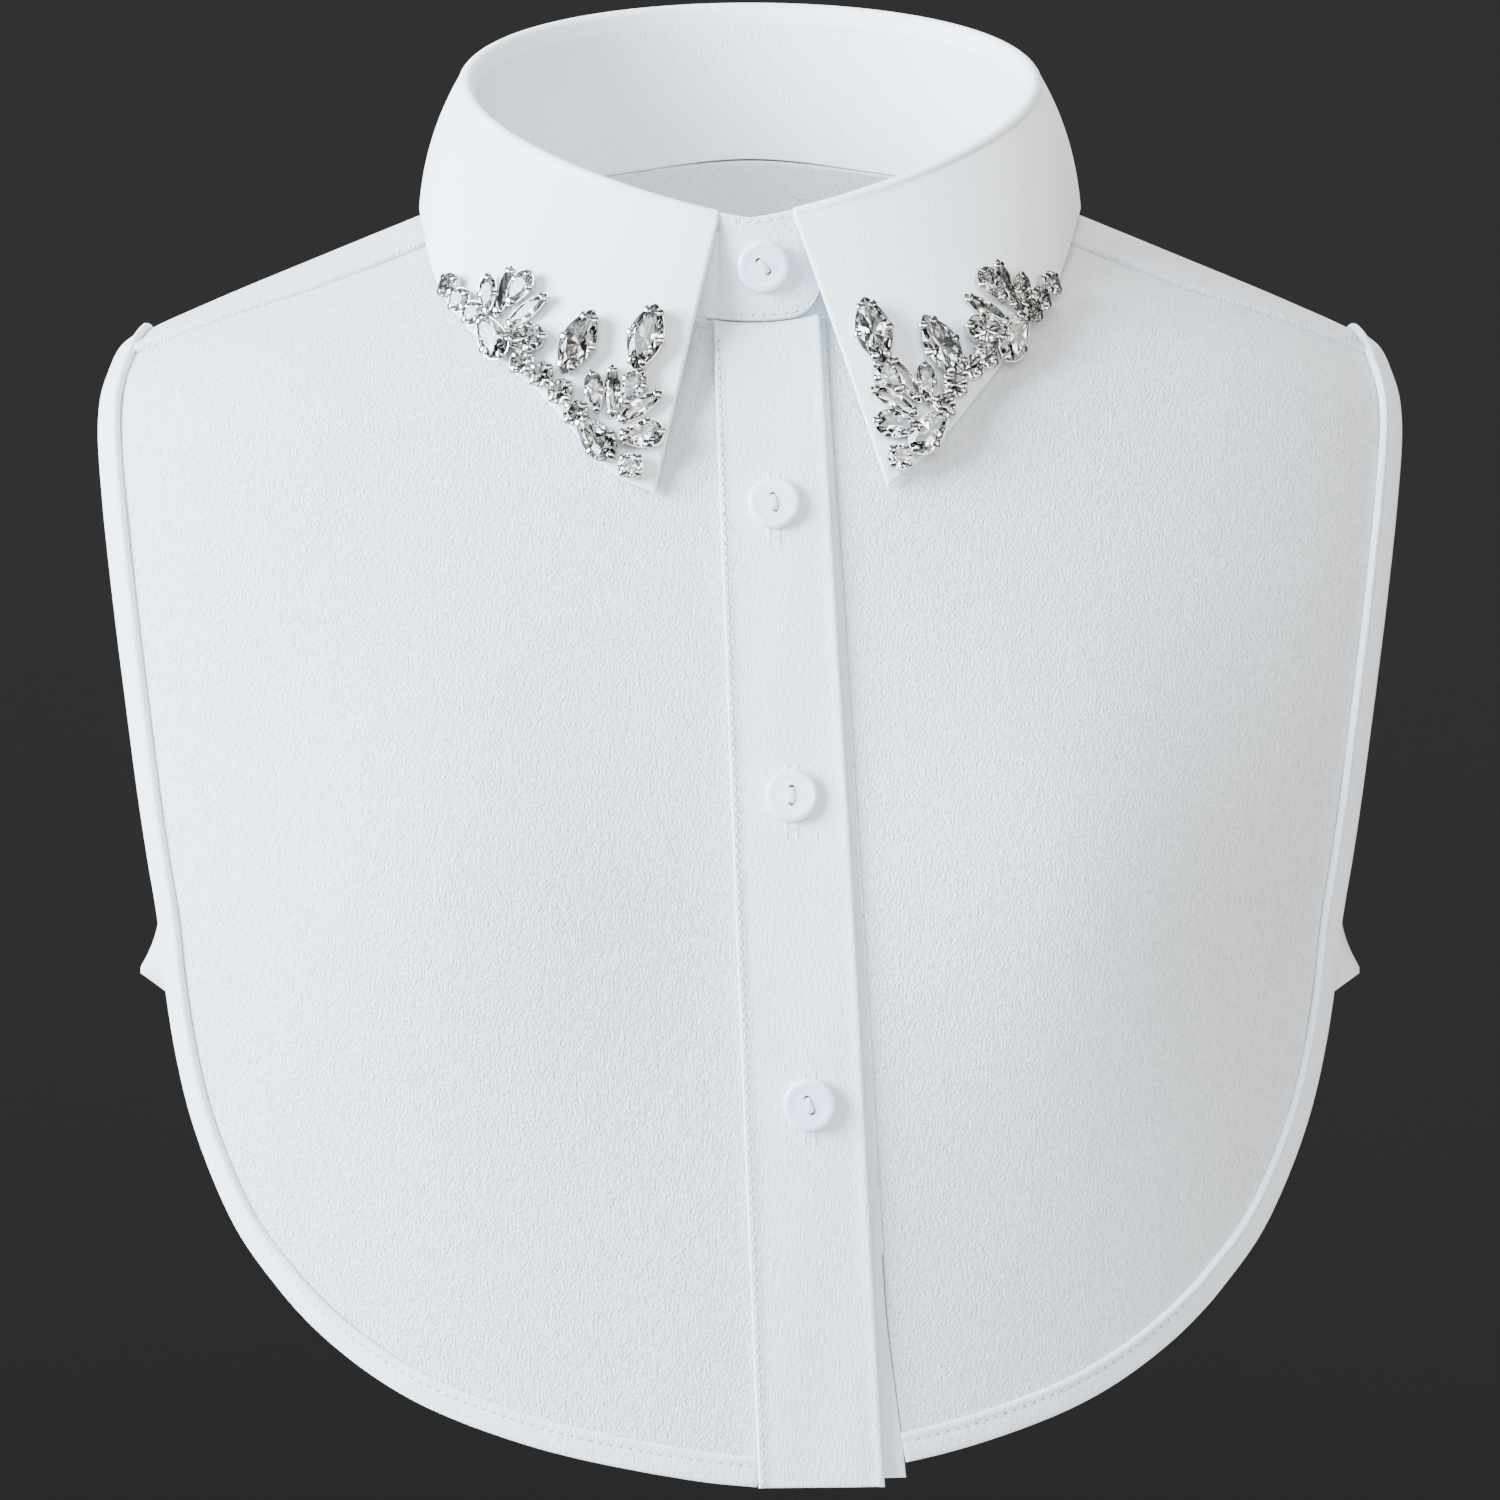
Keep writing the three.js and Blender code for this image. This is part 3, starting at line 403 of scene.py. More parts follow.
def half_outline(side, start_x, to_back):
    corner = edge_share(CORNER_X)
    shares = np.concatenate([
        np.linspace(edge_share(start_x), corner, HEM_STEPS + 1),
        np.linspace(corner, 1, SIDE_STEPS + 1)[1:],
    ])
    x = np.interp(shares, EDGE_SHARE, EDGE_LINE[:, 0])
    z = np.interp(shares, EDGE_SHARE, EDGE_LINE[:, 1])
    return body_point(side * x, z, to_back)


def outline(side, start_x, back_start_x):
    """Outline of one side, from the front hem over the shoulder to the back hem."""
    y = np.array(SHOULDER["stops"], float)
    x = side * (SHOULDER["x"] + SHOULDER["flare"] * (y / SHOULDER["reach"]) ** 2)
    crossing = settle(np.stack([x, y, height_over(x, y)], axis=-1))
    front = half_outline(side, start_x, False)
    back = half_outline(side, back_start_x, True)[::-1]
    return np.concatenate([front, crossing, back])


def inset(points, side, distance):
    """The outline moved inwards over the surface."""
    before = np.concatenate([points[:1], points[:-1]])
    after = np.concatenate([points[1:], points[-1:]])
    inwards = unit(np.cross(normal_at(points), unit(after - before)))
    return settle(points + inwards * side * distance)


def turn_and_height(p, centre):
    turn = np.degrees(np.arctan2(-p[..., 0], -p[..., 1]))
    turn = (turn - centre + 180) % 360 - 180 + centre
    return np.stack([turn, np.zeros_like(turn), p[..., 2]], axis=-1)


def point_at_turn(turn, z):
    a = np.radians(turn)
    half, front, back, power = section(z)
    depth = np.where(np.cos(a) > 0, front, back)
    reach = (np.abs(np.sin(a)) / half) ** power + (np.abs(np.cos(a)) / depth) ** power
    r = reach ** (-1 / power)
    return np.stack([-r * np.sin(a), -r * np.cos(a), z], axis=-1)


def mixed(top, bottom, left, right):
    """Grid blended from four borders."""
    t = np.linspace(0, 1, len(left))[:, None, None]
    s = np.linspace(0, 1, len(top))[None, :, None]
    grid = top[None] * (1 - t) + bottom[None] * t
    start = top[0] * (1 - t) + bottom[0] * t
    end = top[-1] * (1 - t) + bottom[-1] * t
    return grid + (left[:, None] - start) * (1 - s) + (right[:, None] - end) * s


def smoothstep(value, low, high):
    t = np.clip((np.asarray(value, float) - low) / (high - low), 0, 1)
    return t * t * (3 - 2 * t)


def blended(top, bottom, left, right, centre):
    """Even grid on the wearer between four borders that meet at the corners."""
    borders = (top, bottom, left, right)
    flat = mixed(*[turn_and_height(b, centre) for b in borders])
    by_turn = point_at_turn(flat[..., 0], flat[..., 2])
    s = np.linspace(0, 1, len(top))
    from_side = s if centre == 0 else 2 * np.minimum(s, 1 - s)
    share = smoothstep(from_side, 0.2, 0.5)[None, :, None]
    grid = settle(mixed(*borders) * (1 - share) + by_turn * share)
    grid[0], grid[-1], grid[:, 0], grid[:, -1] = top, bottom, left, right
    for _ in range(RELAX_PASSES):
        around = grid[:-2, 1:-1] + grid[2:, 1:-1] + grid[1:-1, :-2] + grid[1:-1, 2:]
        grid[1:-1, 1:-1] = around / 4
    grid[1:-1, 1:-1] = settle(grid[1:-1, 1:-1])
    return grid


def neck_ellipse(turn, shape):
    a = np.radians(turn)
    depth = np.where(np.cos(a) > 0, shape["front"], shape["back"])
    return -shape["across"] * np.sin(a), -depth * np.cos(a)


def neck_point(turn):
    """Place on the neck seam: turn is 0 at the front and grows to the wearer's right."""
    x, y = neck_ellipse(np.asarray(turn, float), NECK)
    return np.stack([x, y, height_over(x, y)], axis=-1)


def out_of_neck(turn):
    a = np.radians(turn)
    depth = np.where(np.cos(a) > 0, NECK["front"], NECK["back"])
    out = np.stack([-np.sin(a) / NECK["across"], -np.cos(a) / depth, np.zeros_like(a)], axis=-1)
    return unit(out)


def bib_neck_point(turn, gap=0.3):
    p = neck_point(turn)
    normal = normal_at(p)
    down = out_of_neck(turn)
    down = unit(down - normal * (down * normal).sum(-1, keepdims=True))
    return settle(p + down * gap)


def turn_at_x(x):
    return -math.degrees(math.asin(x / NECK["across"]))


SEAM_TURN = math.degrees(math.acos(-SEAM["y"] / NECK["front"]))
TIP = HEM_STEPS + SIDE_STEPS + 1


def shoulder_seam(start, side, shift):
    end = bib_neck_point(np.array(-side * SEAM_TURN, float))
    t = np.linspace(0, 1, SEAM["steps"] + 1)
    x = start[0] + (end[0] - start[0]) * t
    y = start[1] + (end[1] - start[1]) * t - SEAM["bow"] * np.sin(np.pi * t) + shift
    return settle(np.stack([x, y, height_over(x, y)], axis=-1))


def along_front(pair, z):
    """A value that goes from the neck seam to the hem, at a height."""
    t = (np.asarray(z, float) - PLACKET["z_top"]) / (PLACKET["z_bottom"] - PLACKET["z_top"])
    return pair[0] + (pair[1] - pair[0]) * t


def placket_x(edge, z):
    return along_front(PLACKET_EDGES[edge], z)


def under_right(z):
    swing = smoothstep(-np.asarray(z, float), -UNDER_SWING["from"], -UNDER_SWING["to"])
    return placket_x("right", z) + along_front(UNDER_SHOWS, z) + UNDER_SWING["by"] * swing


def under_left(z):
    return placket_x("left", z) + UNDER_LAP


# Height at which the left front's bound edge meets the strip under the buttons
HEM_CORNER = -281
HEM_START = {
    RIGHT: -(PLACKET_EDGES["left"][1] - END_GAP),
    LEFT: float(under_right(HEM_CORNER)) + END_GAP / 2,
}
OUTLINES = {side: outline(side, HEM_START[side], END_GAP / 2) for side in (RIGHT, LEFT)}


def roll_point(turn):
    """Centre of the fold along the collar's top edge."""
    x, y = neck_ellipse(turn, ROLL)
    rise = ROLL["rise"] * np.abs(np.sin(np.radians(turn) / 2)) ** ROLL["power"]
    return np.stack([x, y, rise - FOLD["radius"] - 0.75], axis=-1)


def crown_point(turn, below):
    """Top of the stand's wall, a drop below the inside of the fold."""
    out = out_of_neck(turn)
    inside = roll_point(turn) - out * (FOLD["radius"] + LEAF["thick"] / 2)
    inside[..., 2] += FOLD["radius"] + LEAF["thick"] / 2 - below
    return inside


def seam_cut(turn):
    """Direction halfway between the bib and the stand at their seam."""
    return unit(normal_at(neck_point(turn)) + out_of_neck(turn))


def trim_at_neck(pair, turns, low, high):
    """Cuts the top row of a sheet along the neck seam, where turns are given."""
    held = ~np.isnan(turns)
    turn = turns[held]
    cut = seam_cut(turn)
    p = bib_neck_point(turn)
    share = (cut * normal_at(p)).sum(-1, keepdims=True)
    pair[0, held, 0] = p + cut * low / share
    pair[0, held, 1] = p + cut * high / share


def cloth_over(grid, low, high):
    """Both faces of cloth that lies over the wearer."""
    return np.stack([lifted(grid, low), lifted(grid, high)], axis=2)


def wavy(p, size, seed):
    """Smooth seeded unevenness between -1 and 1 at points in space."""
    rng = np.random.default_rng(seed)
    total = 0
    for _ in range(6):
        way = unit(rng.normal(size=3)) * 2 * np.pi / size * rng.uniform(0.6, 1.5)
        total = total + np.sin(p @ way + rng.uniform(0, 2 * np.pi))
    return total / 6


def front_grid(side, edge_at):
    """Places of a front half on the wearer, from the bound edge to the button strip."""
    edge = inset(OUTLINES[side], side, BINDING["panel_from"])
    tip = edge[TIP]
    seam = shoulder_seam(tip, side, -SEAM["gap"])
    seam[0] = tip
    first = -side * SEAM_TURN
    end_turn = turn_at_x(float(edge_at(PLACKET["z_top"])))
    turns = np.linspace(first, end_turn, GRID["front_neck"])
    seam = smooth_line(seam, 100, GRID["seam"] + 1)
    top = np.concatenate([seam[:-1], bib_neck_point(turns)])
    left = smooth_line(edge[HEM_STEPS:TIP + 1][::-1], 600, GRID["front_side"])
    bottom = edge[:HEM_STEPS + 1][::-1].copy()
    end_x = float(edge_at(bottom[-1, 2]))
    bottom[-1] = body_point(end_x, bottom[-1, 2])
    bottom = smooth_line(bottom, 600, len(top))
    top[0], left[-1], bottom[0] = left[0], bottom[0], left[-1]
    t = np.linspace(0, 1, len(left))
    z = top[-1, 2] + (bottom[-1, 2] - top[-1, 2]) * t
    start_off = top[-1, 0] - float(edge_at(top[-1, 2]))
    right = body_point(np.array([float(edge_at(h)) for h in z]) + start_off * (1 - t), z)
    right[0], right[-1] = top[-1], bottom[-1]
    marks = np.concatenate([np.full(GRID["seam"], np.nan), turns])
    return blended(top, bottom, left, right, 0), marks


def back_grid():
    """Places of the back panel on the wearer, from shoulder seam to shoulder seam."""
    edges = {side: inset(OUTLINES[side], side, BINDING["panel_from"])[TIP:] for side in (RIGHT, LEFT)}
    rows = len(edges[RIGHT]) - HEM_STEPS
    turns = np.linspace(SEAM_TURN, 360 - SEAM_TURN, GRID["back_neck"])
    seams = {}
    sides = {}
    for side in (RIGHT, LEFT):
        seam = shoulder_seam(edges[side][0], side, SEAM["gap"])
        seam[0] = edges[side][0]
        seams[side] = smooth_line(seam, 100, GRID["seam"] + 1)[:-1]
        sides[side] = smooth_line(edges[side][:rows], 600, GRID["back_side"])
    top = np.concatenate([seams[RIGHT], bib_neck_point(turns), seams[LEFT][::-1]])
    hem = np.concatenate([edges[RIGHT][rows - 1:], edges[LEFT][rows - 1:-1][::-1]])
    bottom = smooth_line(hem, 1200, len(top))
    sides[RIGHT][-1], sides[LEFT][-1] = bottom[0], bottom[-1]
    on_shoulder = np.full(GRID["seam"], np.nan)
    marks = np.concatenate([on_shoulder, turns, on_shoulder])
    return blended(top, bottom, sides[RIGHT], sides[LEFT], 180), marks


def with_rim_lines(pair, radius):
    """Adds grid lines near the borders of a sheet, so that its rims can be rounded."""
    for _ in range(2):
        middle = pair.mean(axis=2)
        rims = []
        for a, b in ((0, 1), (-1, -2)):
            length = np.linalg.norm(middle[b] - middle[a], axis=-1)
            shares = [np.minimum(radius * k / np.maximum(length, 1e-6), 0.9 * k) for k in RIM_STEPS]
            rims.append([pair[a] + (pair[b] - pair[a]) * s[:, None, None] for s in shares])
        pair = np.concatenate([pair[:1], rims[0], pair[1:-1], rims[1][::-1], pair[-1:]])
        pair = np.swapaxes(pair, 0, 1)
    return pair


def rim_share(middle, radius):
    """Share of the full thickness at each place: none at the border, all of it further in."""
    share = np.ones(middle.shape[:2])
    for axis in (0, 1):
        steps = np.linalg.norm(np.diff(middle, axis=axis), axis=-1)
        gone = np.cumsum(steps, axis=axis)
        zero = np.zeros_like(np.take(gone, [0], axis=axis))
        gone = np.concatenate([zero, gone], axis=axis)
        left = np.take(gone, [-1], axis=axis) - gone
        d = np.clip(np.minimum(gone, left) / radius, 0, 1)
        share = np.minimum(share, np.sqrt(1 - (1 - d) ** 2))
    return share[..., None]


def soft_sheet(pair, radius):
    """Closed cloth with rounded rims between two faces given as one grid of pairs."""
    pair = with_rim_lines(pair, radius)
    middle = pair.mean(axis=2)
    half = (pair[:, :, 1] - pair[:, :, 0]) / 2 * rim_share(middle, radius)
    rows, columns = middle.shape[:2]
    outer = np.arange(rows * columns).reshape(rows, columns)
    inner = outer.copy()
    count = (rows - 2) * (columns - 2)
    inner[1:-1, 1:-1] = rows * columns + np.arange(count).reshape(rows - 2, columns - 2)
    points = np.concatenate([
        (middle + half).reshape(-1, 3),
        (middle - half)[1:-1, 1:-1].reshape(-1, 3),
    ])
    corners = [np.s_[:-1, :-1], np.s_[1:, :-1], np.s_[1:, 1:], np.s_[:-1, 1:]]
    top = np.stack([outer[c] for c in corners], axis=-1).reshape(-1, 4)
    under = np.stack([inner[c] for c in reversed(corners)], axis=-1).reshape(-1, 4)
    return points, np.concatenate([top, under])


def band(loops):
    """Open band through closed loops."""
    loops = np.asarray(loops)
    rows, columns = loops.shape[:2]
    index = np.arange(rows * columns).reshape(rows, columns)
    turned = np.roll(index, -1, axis=1)
    quads = np.stack([index[:-1], index[1:], turned[1:], turned[:-1]], axis=-1).reshape(-1, 4)
    return loops.reshape(-1, 3), quads.tolist()


def swept(loops):
    """Closed solid through loops of points, with a flat cap at both ends."""
    points, faces = band(loops)
    columns = len(loops[0])
    last = np.arange(len(points) - columns, len(points))
    return points, faces + [list(range(columns)), last[::-1].tolist()]


def joined(parts):
    """One list of points and faces from several."""
    points = []
    faces = []
    start = 0
    for p, f in parts:
        points.append(np.asarray(p))
        faces += [[int(i) + start for i in face] for face in f]
        start += len(p)
    return np.concatenate(points), faces


def new_mesh(name, points, faces, smooth=True):
    """Mesh from points in millimetres, with its faces turned outwards."""
    mesh = bpy.data.meshes.new(name)
    mesh.from_pydata((np.asarray(points) * MM).tolist(), [], [list(map(int, f)) for f in faces])
    work = bmesh.new()
    work.from_mesh(mesh)
    bmesh.ops.recalc_face_normals(work, faces=work.faces)
    work.to_mesh(mesh)
    work.free()
    mesh.polygons.foreach_set("use_smooth", [smooth] * len(mesh.polygons))
    mesh.update()
    return mesh


def new_piece(name, mesh, material, nodes):
    """Puts a mesh in the scene as a finished piece that stands for CAD nodes."""
    piece = bpy.data.objects.new(name, mesh)
    bpy.context.scene.collection.objects.link(piece)
    mesh.materials.clear()
    mesh.materials.append(material)
    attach(piece, "root")
    if nodes:
        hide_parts(*nodes)
    return piece


def soft_piece(node, shape, look, slot="crepe"):
    """A finished piece of cloth or elastic that stands for one CAD node."""
    mesh = new_mesh(node, *shape)
    return new_piece(f"{node}_{slot}", mesh, material_of(look), [node])


def bib_sheets():
    """Meshes of the two fronts and the back."""
    sheets = {}
    for name, side, edge_at in (
        ("front_right", RIGHT, lambda z: under_left(z) - 0.1),
        ("front_left", LEFT, lambda z: under_right(z) + 0.1),
    ):
        grid, marks = front_grid(side, edge_at)
        pair = cloth_over(grid, 0, CLOTH)
        trim_at_neck(pair, marks, 0, CLOTH)
        sway = wavy(grid, 70, 3 + side)[..., None, None] * BIB_SWAY
        fade = rim_share(grid, 18)[..., None]
        pair += normal_at(grid)[:, :, None] * sway * fade
        sheets[name] = soft_sheet(pair, CLOTH / 2)
    grid, marks = back_grid()
    raised = SHOULDER_LAP * (1 - smoothstep(np.arange(len(grid)), 1, 3))
    pair = cloth_over(grid, 0, CLOTH)
    on_seam = np.isnan(marks)[None, :, None] * raised[:, None, None]
    pair[:, :, 1] += normal_at(grid) * on_seam
    trim_at_neck(pair, marks, 0, CLOTH)
    sheets["back_panel"] = soft_sheet(pair, CLOTH / 2)
    return sheets


def binding_loops(side):
    """Loops of the bound edge across its length."""
    fine = settle(smooth_line(OUTLINES[side], 4000, BINDING["stations"]))
    low = BINDING["ridge_low"]
    ridge = BINDING["ridge"] * (low + (1 - low) * smoothstep(fine[:, 2], *BINDING["ridge_rises"]))
    pucker = np.cos(2 * np.pi * distances(fine) / BINDING["pitch"])
    drift = BINDING["sway"] * wavy(fine, 26, 11 + side)
    loops = []
    for across, height, share, dimple in BINDING["profile"]:
        at = settle(inset(fine, side, across)) if across > 0 else fine
        height = height + ridge * share + dimple * pucker + drift * min(across, 1)
        loops.append(lifted(at, height))
    return np.stack(loops, axis=1), fine


def columns_between(from_left, from_right, count):
    """Columns given from either edge, with even ones between them."""
    k = np.linspace(0, 1, count + 2)[1:-1]
    between = from_left[-1] * (1 - k) - from_right[-1] * k
    share = np.concatenate([np.zeros(len(from_left)), k, np.ones(len(from_right))])
    offset = np.concatenate([from_left, between, -np.array(from_right[::-1])])
    return share, offset


def strip_pair(left_at, right_at, columns, low, face, z_bottom, rows):
    """Both faces of a strip down the front. Its face is a height by place from each edge."""
    share, offset = columns

    def places(z):
        left = left_at(z)
        return left + (right_at(z) - left) * share + offset

    turns = -np.degrees(np.arcsin(places(np.array(PLACKET["z_top"], float)) / NECK["across"]))
    top = bib_neck_point(turns)
    t = np.linspace(0, 1, rows)[:, None]
    z = top[:, 2] + (z_bottom - top[:, 2]) * t
    x = places(z)
    grid = body_point(x, z)
    grid[0] = top
    high = face(x - left_at(z), right_at(z) - x, z)
    pair = cloth_over(grid, low, high)
    trim_at_neck(pair, turns, low, high[0][:, None])
    return pair


def placket_face(a, b, z):
    """Height of the button strip's face: folded edges, and a stitched line beside the left one."""
    near = np.minimum(a, b)
    down = PLACKET["z_top"] - z
    pucker = np.cos(2 * np.pi * down / PLACKET["pitch"])
    groove = np.exp(-((a - PLACKET["stitches_at"]) / 0.3) ** 2)
    beside = np.exp(-((a - 2.4) / 1.4) ** 2)
    height = PLACKET["edge_height"] - 0.4 * smoothstep(near, 0.4, 3)
    height = height - groove * (0.16 - 0.07 * pucker) - 0.03 * beside * pucker
    return height + 0.1 * np.sin(down / 19 + 0.3 * a) * smoothstep(near, 1, 5)


def placket_pair():
    columns = columns_between(
        [0, 0.3, 0.6, 0.85, 1, 1.1, 1.2, 1.35, 1.6, 2, 2.6, 3.4, 4.4],
        [0, 0.3, 0.7, 1.3, 2.2, 3.2],
        12,
    )
    return strip_pair(
        lambda z: placket_x("left", z), lambda z: placket_x("right", z), columns,
        1.5, placket_face, PLACKET["z_bottom"], 420,
    )


def under_face(a, b, z):
    return np.full(np.shape(a), CLOTH) + 0.02 * np.sin(z / 9)


def under_pair():
    columns = columns_between([0, 1], [0, 0.4, 0.9, 1.6, 2.6], 7)
    bottom = PLACKET["z_bottom"] + 1.5
    return strip_pair(under_left, under_right, columns, 0, under_face, bottom, 160)


def stand_turns():
    """Turns at which the collar stand is worked out."""
    fronts = np.array(STAND_FRONT)
    return np.unique(np.concatenate([
        fronts[:, 0],
        np.linspace(fronts[0, 0], fronts[3, 0], 17),
        np.linspace(fronts[3, 0], 12, 30),
        np.linspace(12, STAND["under_end"], 300),
    ]))


def stand_pair():
    """Both faces of the collar stand, lapped right over left at the front."""
    fronts = np.array(STAND_FRONT)
    stations = stand_turns()
    low = np.interp(stations, fronts[:, 0], fronts[:, 1])
    high = np.interp(stations, fronts[:, 0], fronts[:, 2])
    end = stations < fronts[3, 0]
    span = (stations[end] - fronts[0, 0]) / (fronts[3, 0] - fronts[0, 0])
    curve = np.sqrt(np.clip(1 - (1 - span) ** 2, 0, 1))
    low[end] = STAND["end_rise"] * (1 - curve)
    high[end] = fronts[3, 2] + STAND["end_drop"] * (1 - curve)
    lap = 1 - smoothstep(stations, STAND["lap_from"], STAND["lap_to"])
    start = STAND["lap_lift"] * lap
    over = STAND["lap_lift"] + STAND["lap_cloth"]
    finish = STAND["cloth"] + (over - STAND["cloth"]) * lap
    thin = smoothstep(stations, STAND["thin_from"], STAND["thin_to"])
    finish = finish + (STAND["lap_cloth"] - 0.1 - finish) * thin
    seam = neck_point(stations) + np.stack([0 * low, 0 * low, low + STAND["seam_lift"]], axis=-1)
    crown = crown_point(stations, high)
    t = np.linspace(0, 1, STAND["rows"])[:, None, None]
    p = seam + (crown - seam) * t
    cut, out = seam_cut(stations), out_of_neck(stations)
    share = smoothstep(t, 0, 0.4)
    tall = np.linalg.norm(crown - seam, axis=-1)[None, :, None]
    front = 1 - smoothstep(np.abs((stations + 180) % 360 - 180), 12, 22)[None, :, None]
    past_low = t * tall - STAND["stitches_low"]
    past_high = tall - t * tall - STAND["stitches_high"]
    groove = np.exp(-(past_low / 0.35) ** 2) + np.exp(-(past_high / 0.35) ** 2)
    faces = []
    for offset, dent in ((start, 0), (finish, 0.16)):
        offset = offset[None, :, None] - dent * groove * front
        by_cut = p + cut * offset / (cut * out).sum(-1)[:, None]
        faces.append(by_cut + (p + out * offset - by_cut) * share)
    return np.stack(faces, axis=2)


def leaf_pair():
    """Both faces of the leaf, from the flap inside over the fold to the lower edge."""
    right = LEAF_EDGE[:, [0, 1, 2]]
    left = LEAF_EDGE[-2::-1, [0, 3, 4]] * (-1, 1, 1) + (360, 0, 0)
    plan = np.concatenate([right, left])
    plan = catmull(plan, np.linspace(0, len(plan) - 1, LEAF["stations"]))
    start = -LEAF_START["right"]
    turn = start + (360 - LEAF_START["left"] - start) * plan[:, 0] / 360
    out = out_of_neck(turn)
    roll = roll_point(turn)
    up = np.array([0, 0, 1.0])
    r = FOLD["radius"]
    rows = [roll - out * r - up * FOLD["flap"] * k for k in (1, 0.66, 0.33)]
    for angle in np.radians(np.linspace(180, 0, 13)):
        rows.append(roll + out * r * np.cos(angle) + up * r * np.sin(angle))
    hang = rows[-1]
    seat = np.stack([plan[:, 1], plan[:, 2], height_over(plan[:, 1], plan[:, 2])], axis=-1)
    edge = lifted(seat, LEAF["lift"])
    away = unit(normal_at(seat) + out)
    for share in np.linspace(0, 1, LEAF["rows"])[1:]:
        bulge = 4 * LEAF["bulge"] * share * (1 - share)
        rows.append(hang + (edge - hang) * share + away * bulge)
    grid = np.stack(rows, axis=1)
    along = np.gradient(grid, axis=0)
    down = np.gradient(grid, axis=1)
    normal = unit(np.cross(down, along))
    half = LEAF["thick"] / 2
    return np.stack([grid - normal * half, grid + normal * half], axis=2)


def strap_pair(side, pitch):
    """Both faces of a ribbed elastic strap from the front edge to the back edge."""
    down = np.linspace(0, 1, STRAP["levels"])
    levels = STRAP["top"] + (STRAP["bottom"] - STRAP["top"]) * down
    x, z = EDGE_LINE[EDGE_UPWARDS:].T
    rim = np.interp(levels, z, x)
    front = body_point(side * rim, levels)
    back = body_point(side * rim, levels, True)
    share = np.linspace(-1, 1, STRAP["stations"])[:, None]
    peak = np.minimum(down / STRAP["fold_at"], (1 - down) / (1 - STRAP["fold_at"]))
    bow = STRAP["bow"] * (1 - share ** 4) * (STRAP["held"] + (1 - STRAP["held"]) * peak)
    y = front[:, 1] + 0.5 + (back[:, 1] - front[:, 1] - 1) * (share + 1) / 2
    rib = STRAP["rib"] * np.cos(2 * np.pi * y / pitch)
    z = levels - STRAP["sag"] * (1 - share ** 2)
    faces = []
    for out, way in zip(STRAP["faces"], (-1, 1)):
        x = side * (rim + out + bow + way * rib)
        faces.append(np.stack([x, y, z], axis=-1))
    return np.stack(faces, axis=2)


def button_parts():
    """Points and faces of a two-hole button that stands on its back at the origin."""
    sides = 48
    a = np.linspace(0, 2 * np.pi, sides, endpoint=False)
    circle = np.stack([np.cos(a), np.sin(a)], axis=-1)
    rim = np.array(BUTTON["profile"], float)
    loops = [np.column_stack([circle * r, np.full(sides, h)]) for r, h in rim]
    small = circle[::3]
    holes = []
    for way in (-1, 1):
        centre = np.array([0, way * BUTTON["pitch"] / 2])
        holes.append(centre + small * BUTTON["hole"])
    mouths = [h + (h - h.mean(0)) * BUTTON["mouth"] for h in holes]
    points = np.concatenate([circle * rim[-1, 0]] + mouths)
    count = len(small)
    rings = [list(range(sides))]
    rings += [[sides + k * count + i for i in range(count)] for k in range(2)]
    edges = [(ring[i], ring[(i + 1) % len(ring)]) for ring in rings for i in range(len(ring))]
    flat = delaunay_2d_cdt([Vector(p) for p in points], edges, [], 1, 1e-6)
    where = np.array([tuple(v) for v in flat[0]])
    kept = []
    for face in flat[2]:
        middle = where[list(face)].mean(0)
        gap = min(np.linalg.norm(middle - h.mean(0)) for h in holes)
        if gap > BUTTON["hole"] * 1.1:
            kept.append(list(face))
    top = rim[-1, 1]
    parts = [(np.column_stack([where, np.full(len(where), top)]), kept)]
    parts.append((np.column_stack([where, np.zeros(len(where))]), kept))
    back = [np.column_stack([circle * rim[-1, 0], np.zeros(sides)])]
    parts.append(band(back + loops))
    deep = BUTTON["mouth_deep"]
    for hole, mouth in zip(holes, mouths):
        levels = [(mouth, top), (hole, top - deep), (hole, deep), (mouth, 0)]
        parts.append(band([np.column_stack([p, np.full(count, h)]) for p, h in levels]))
    return joined(parts)


def tube(line, radius, sides=8):
    """Closed tube along a line of points."""
    line = np.asarray(line, float)
    ahead = unit(np.gradient(line, axis=0))
    side = unit(np.cross(ahead, [0.3, 0.2, 0.93]))
    other = np.cross(ahead, side)
    a = np.linspace(0, 2 * np.pi, sides, endpoint=False)[:, None, None]
    radius = np.broadcast_to(radius, (len(line),))[:, None]
    ring = line + (side * np.cos(a) + other * np.sin(a)) * radius
    return swept(np.swapaxes(ring, 0, 1))


def stone_outline(kind, angle, share):
    """Outline of a kind of stone at angles, as a share of its size."""
    length, width, taper, pinch, _ = STONE_KINDS[kind]
    sine = np.sin(angle)
    narrow = (1 - pinch * sine ** 2) * (1 + taper * sine) / (1 + taper / 2)
    x = share * width * np.cos(angle) * narrow / 2
    return np.stack([x, share * length * sine / 2], axis=-1)


def girdle_height(kind):
    return 0.9 + 0.25 * STONE_KINDS[kind][1]


